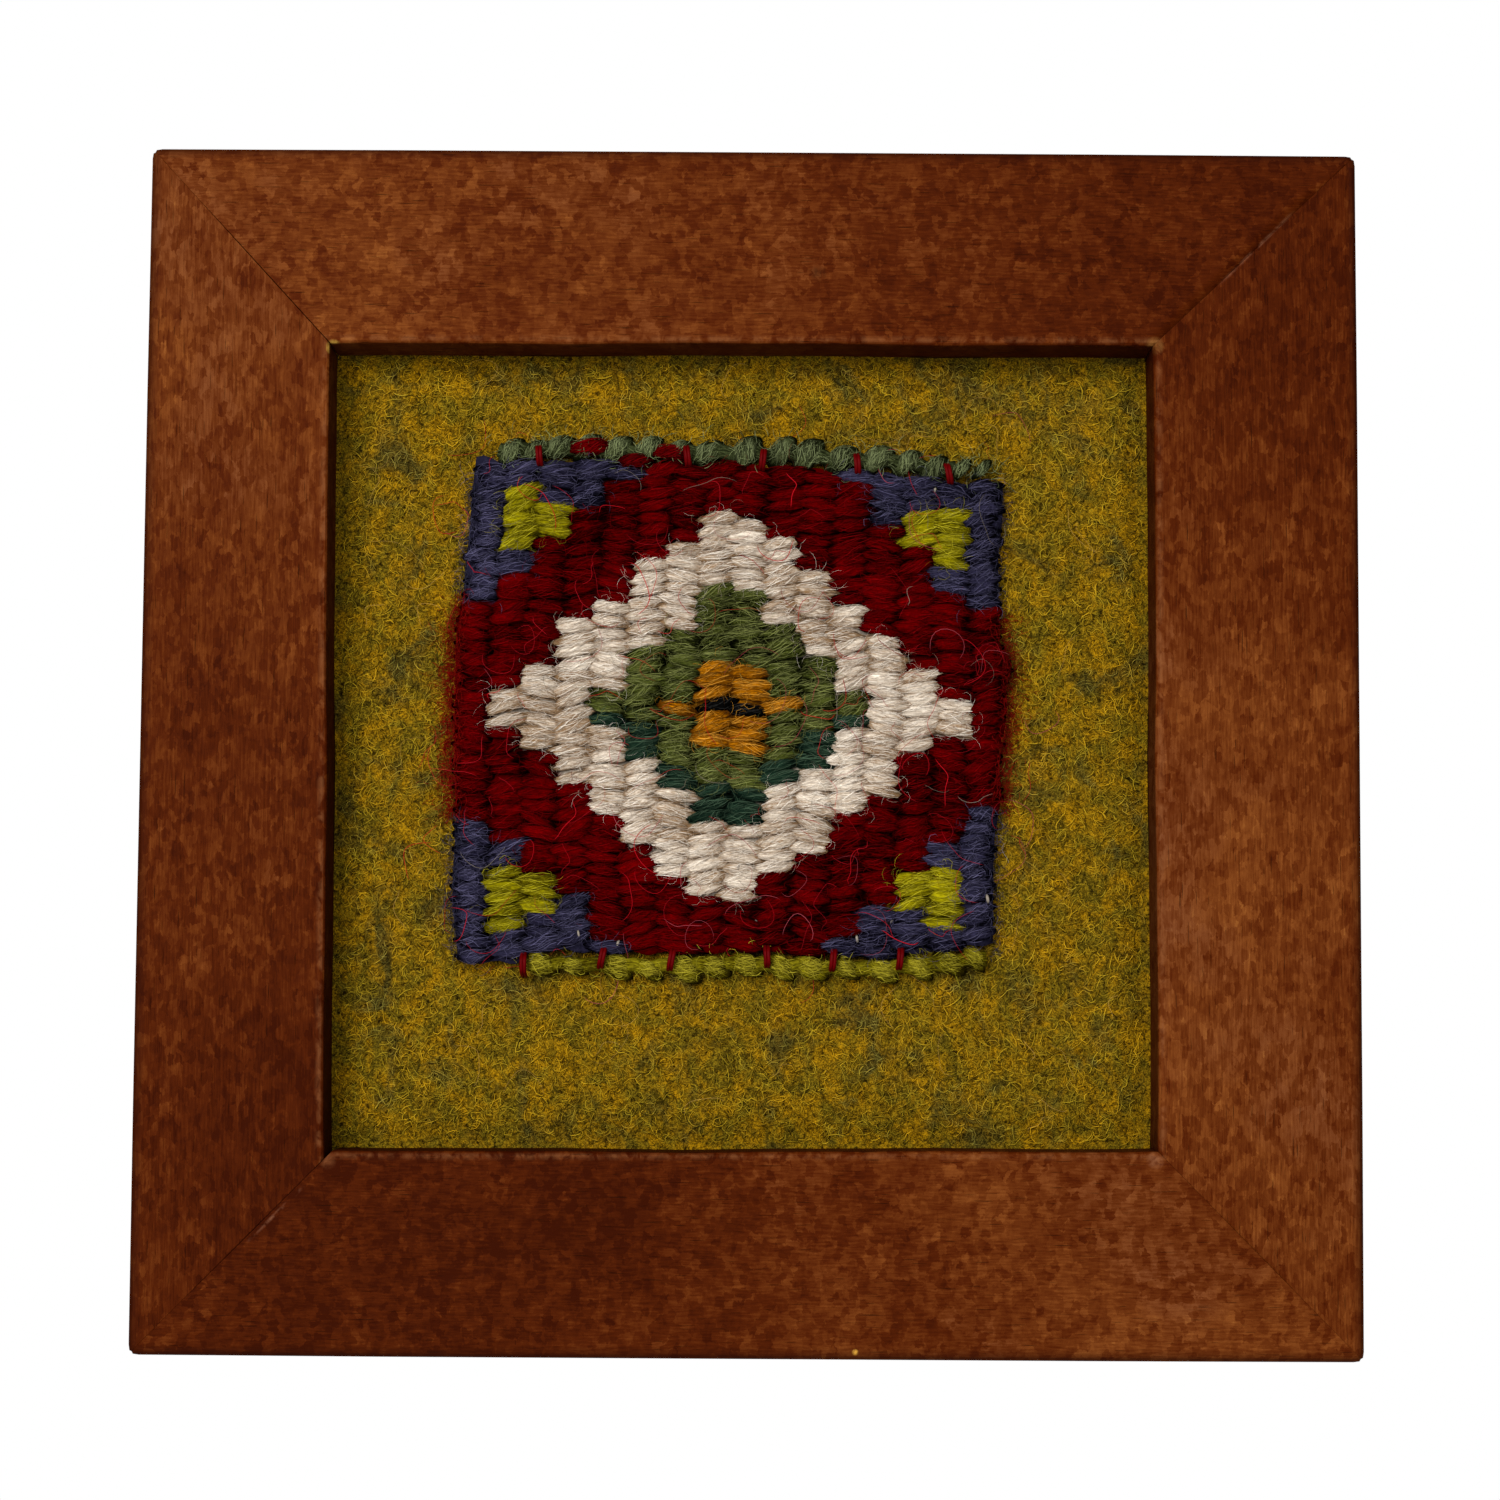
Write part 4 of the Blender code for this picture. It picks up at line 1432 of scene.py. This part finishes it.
def stray_hairs(stray, seed):
    """Long loose curly hairs over the weave and the felt."""
    rng = np.random.default_rng(seed)
    if stray.reach == "weave":
        low = (PANEL_LOW.x - 3 * MM, PANEL_LOW.z - 3 * MM)
        high = (PANEL_HIGH.x + 2 * MM, PANEL_HIGH.z + 3 * MM)
    else:
        low = (APERTURE_LEFT, APERTURE_BOTTOM)
        high = (APERTURE_RIGHT, APERTURE_TOP)
    starts = rng.uniform(low, high, (stray.count, 2))
    lengths = rng.uniform(stray.low, stray.high, stray.count) * MM
    bends = rng.choice((-1, 1), stray.count) * rng.uniform(0.12, 0.6, stray.count) / MM
    headings = rng.uniform(0, TURN, stray.count)
    paths = curly_paths(starts, headings, lengths, bends, STRAY_STATIONS)
    sway = rng.uniform(0, TURN, stray.count)[:, None] + np.linspace(0, 7, STRAY_STATIONS)
    paths[..., 2] += np.sin(sway) * 0.25 * MM
    paths[..., 0] += np.cos(1.3 * sway) * 0.25 * MM
    paths = within_aperture(paths, 0.5 * MM)
    if stray.reach == "felt":
        paths = paths[~over_weave(paths[..., 0], paths[..., 2]).any(axis=1)]
    count = len(paths)
    lift = stray.lift * rng.uniform(0.2, 1.0, count)[:, None] * MM
    ground = front_at(paths[..., 0], paths[..., 2])
    smooth = np.minimum(ground, ground.mean(axis=1, keepdims=True)) - 0.2 * MM
    paths[..., 1] = smooth - lift * arch(STRAY_STATIONS) ** 0.7
    radii = rng.uniform(0.7, 1.3, count) * stray.radius * MM
    obj = hairs("stray_hairs_" + stray.name, paths, radii, rng.uniform(0.2, 1, count))
    return finished(obj, hair(stray.name + "_stray", stray.dark, stray.light), "tapestry_wool")


# Fibres shed on the felt: how many, and how far they spread in millimetres
Halo = namedtuple("Halo", "yarn count spread dark light")
HALOS = (
    Halo("red", 2600, 0.6, "#3c0402", "#8c0f0a"),
    Halo("navy", 700, 0.25, "#0d0c12", "#3c3c4e"),
)


def edge_halo(halo, seed):
    """Short fibres that the floats of one yarn have shed onto the felt beside the weave."""
    rng = np.random.default_rng(seed)
    total = 3 * halo.count
    z = rng.uniform(PANEL_LOW.z + 1 * MM, PANEL_HIGH.z - 3 * MM, total)
    left_side = rng.random(total) < 0.62
    x = np.where(left_side, edge_at("left", z), edge_at("right", z))
    column = np.where(left_side, 0, WARPS - 1)
    own = np.array([yarn_at(c, r) == halo.yarn for c, r in zip(column, row_at(x, z))])
    x, z, left_side = (values[own][:halo.count] for values in (x, z, left_side))
    count = len(x)
    outward = np.where(left_side, math.pi, 0.0) + rng.normal(0, 1.1, count)
    x = x + np.where(left_side, -1, 1) * (rng.gamma(1.2, halo.spread, count) - 0.6) * MM
    starts = np.stack([x, z], -1)
    lengths = rng.uniform(0.6, 2.2, count) * MM
    bends = rng.normal(0, 1.0, count) / MM
    paths = curly_paths(starts, outward, lengths, bends, SHORT_STATIONS)
    lift = rng.uniform(0.1, 0.6, count)[:, None] * MM * arch(SHORT_STATIONS)
    paths[..., 1] = front_at(paths[..., 0], paths[..., 2]) + 0.2 * MM - lift
    radii = rng.uniform(0.018, 0.034, count) * MM
    obj = hairs("edge_halo_" + halo.yarn, paths, radii, rng.beta(2, 2, count))
    return finished(obj, hair("shed_" + halo.yarn, halo.dark, halo.light), "tapestry_wool")


# Stage, light and camera

FLOOR_BELOW = 0.40
FLOOR_RADIUS = 2.0
FLOOR_COLOUR = (0.86, 0.86, 0.85, 1.0)
AMBIENT_COLOUR = (1.0, 0.98, 0.95, 1.0)
AMBIENT_STRENGTH = 0.17
CAMERA_BACK = 406.3 * MM
CAMERA_BELOW = 30.96 * MM
CAMERA_TILT_DEG = 4.30
CAMERA_ROLL_DEG = 0.36
CAMERA_LENS = 78.45


def floor():
    paint = Paint("pale_floor", roughness=0.9, specular=0.1)
    paint.set("Base Color", FLOOR_COLOUR)
    bpy.ops.mesh.primitive_circle_add(
        vertices=96,
        radius=FLOOR_RADIUS,
        fill_type="NGON",
        location=(0, 0, FRAME_LOW.z - FLOOR_BELOW),
    )
    obj = bpy.context.object
    obj.name = "floor"
    settle(obj)
    obj.data.materials.append(paint.material)


def surroundings():
    """A white backdrop for the camera, and a softer even light for the object."""
    world = bpy.data.worlds.new("studio")
    bpy.context.scene.world = world
    world.use_nodes = True
    tree = world.node_tree
    tree.nodes.clear()
    seen = tree.nodes.new("ShaderNodeBackground")
    seen.inputs["Color"].default_value = (1.0, 1.0, 1.0, 1.0)
    lit = tree.nodes.new("ShaderNodeBackground")
    lit.inputs["Color"].default_value = AMBIENT_COLOUR
    lit.inputs["Strength"].default_value = AMBIENT_STRENGTH
    path = tree.nodes.new("ShaderNodeLightPath")
    choice = tree.nodes.new("ShaderNodeMixShader")
    out = tree.nodes.new("ShaderNodeOutputWorld")
    tree.links.new(path.outputs["Is Camera Ray"], choice.inputs[0])
    tree.links.new(lit.outputs[0], choice.inputs[1])
    tree.links.new(seen.outputs[0], choice.inputs[2])
    tree.links.new(choice.outputs[0], out.inputs[0])


Lamp = namedtuple("Lamp", "name place size power")
LAMPS = (
    Lamp("key_softbox", (-0.44, -1.02, 0.27), 0.60, 15.6),
    Lamp("front_softbox", (0.35, -1.15, 0.25), 0.90, 5.2),
)


def lamps():
    target = Vector((0, 0, CENTRE_Z))
    for lamp in LAMPS:
        bpy.ops.object.light_add(type="AREA", location=lamp.place)
        light = bpy.context.object
        light.name = lamp.name
        light.data.shape = "SQUARE"
        light.data.size = lamp.size
        light.data.energy = lamp.power
        way = target - light.location
        light.rotation_euler = way.to_track_quat("-Z", "Y").to_euler()


def camera():
    data = bpy.data.cameras.new("photo_camera")
    data.lens = CAMERA_LENS
    data.sensor_width = 36
    data.clip_start = 0.01
    obj = linked("photo_camera", data)
    tilt = Matrix.Rotation(math.radians(90 + CAMERA_TILT_DEG), 4, "X")
    roll = Matrix.Rotation(math.radians(CAMERA_ROLL_DEG), 4, "Z")
    place = (0.0, FRAME_FRONT - CAMERA_BACK, CENTRE_Z - CAMERA_BELOW)
    obj.matrix_world = Matrix.Translation(place) @ tilt @ roll
    bpy.context.scene.camera = obj


# The sizes of the wood's streaks, flakes and cracks, where its grain runs up and across
UPRIGHT_GRAIN = (
    (0.26 * MM, 1 * MM, 3.6 * MM),
    (0.8 * MM, 3 * MM, 1.5 * MM),
    (0.18 * MM, 1 * MM, 4.5 * MM),
)
LEVEL_GRAIN = (
    (2.6 * MM, 1 * MM, 0.3 * MM),
    (1.1 * MM, 3 * MM, 1.1 * MM),
    (4.5 * MM, 1 * MM, 0.18 * MM),
)


def build_frame():
    upright = stained_wood("stained_wood_upright", *UPRIGHT_GRAIN)
    level = stained_wood("stained_wood_level", *LEVEL_GRAIN)
    for node in RAIL_NODES:
        rail(node, upright if node in UPRIGHT_RAILS else level)


def build_felt():
    felt_sheet()
    fibre = felt_fibre()
    felt_fibres("felt_fibres_low", 11, fibre)
    felt_fibres("felt_fibres_high", 12, fibre)


def build_weave():
    cells = float_cells()
    floats = []
    for place, yarn in enumerate(YARNS):
        floats += weft(yarn, cells[yarn.name], 20 + place)
    for place, cord in enumerate(CORDS):
        twined_cord(cord, 60 + place)
    weft_over_header(66)
    weave_core()
    tacking_stitches()
    warp_bits()


def build_loose_hairs():
    for place, stray in enumerate(STRAYS):
        stray_hairs(stray, 100 + place)
    for place, halo in enumerate(HALOS):
        edge_halo(halo, 131 + place)


def build_stage():
    floor()
    surroundings()
    lamps()
    camera()
    bpy.context.scene.view_settings.view_transform = "Standard"


build_frame()
build_felt()
build_weave()
build_loose_hairs()
build_stage()
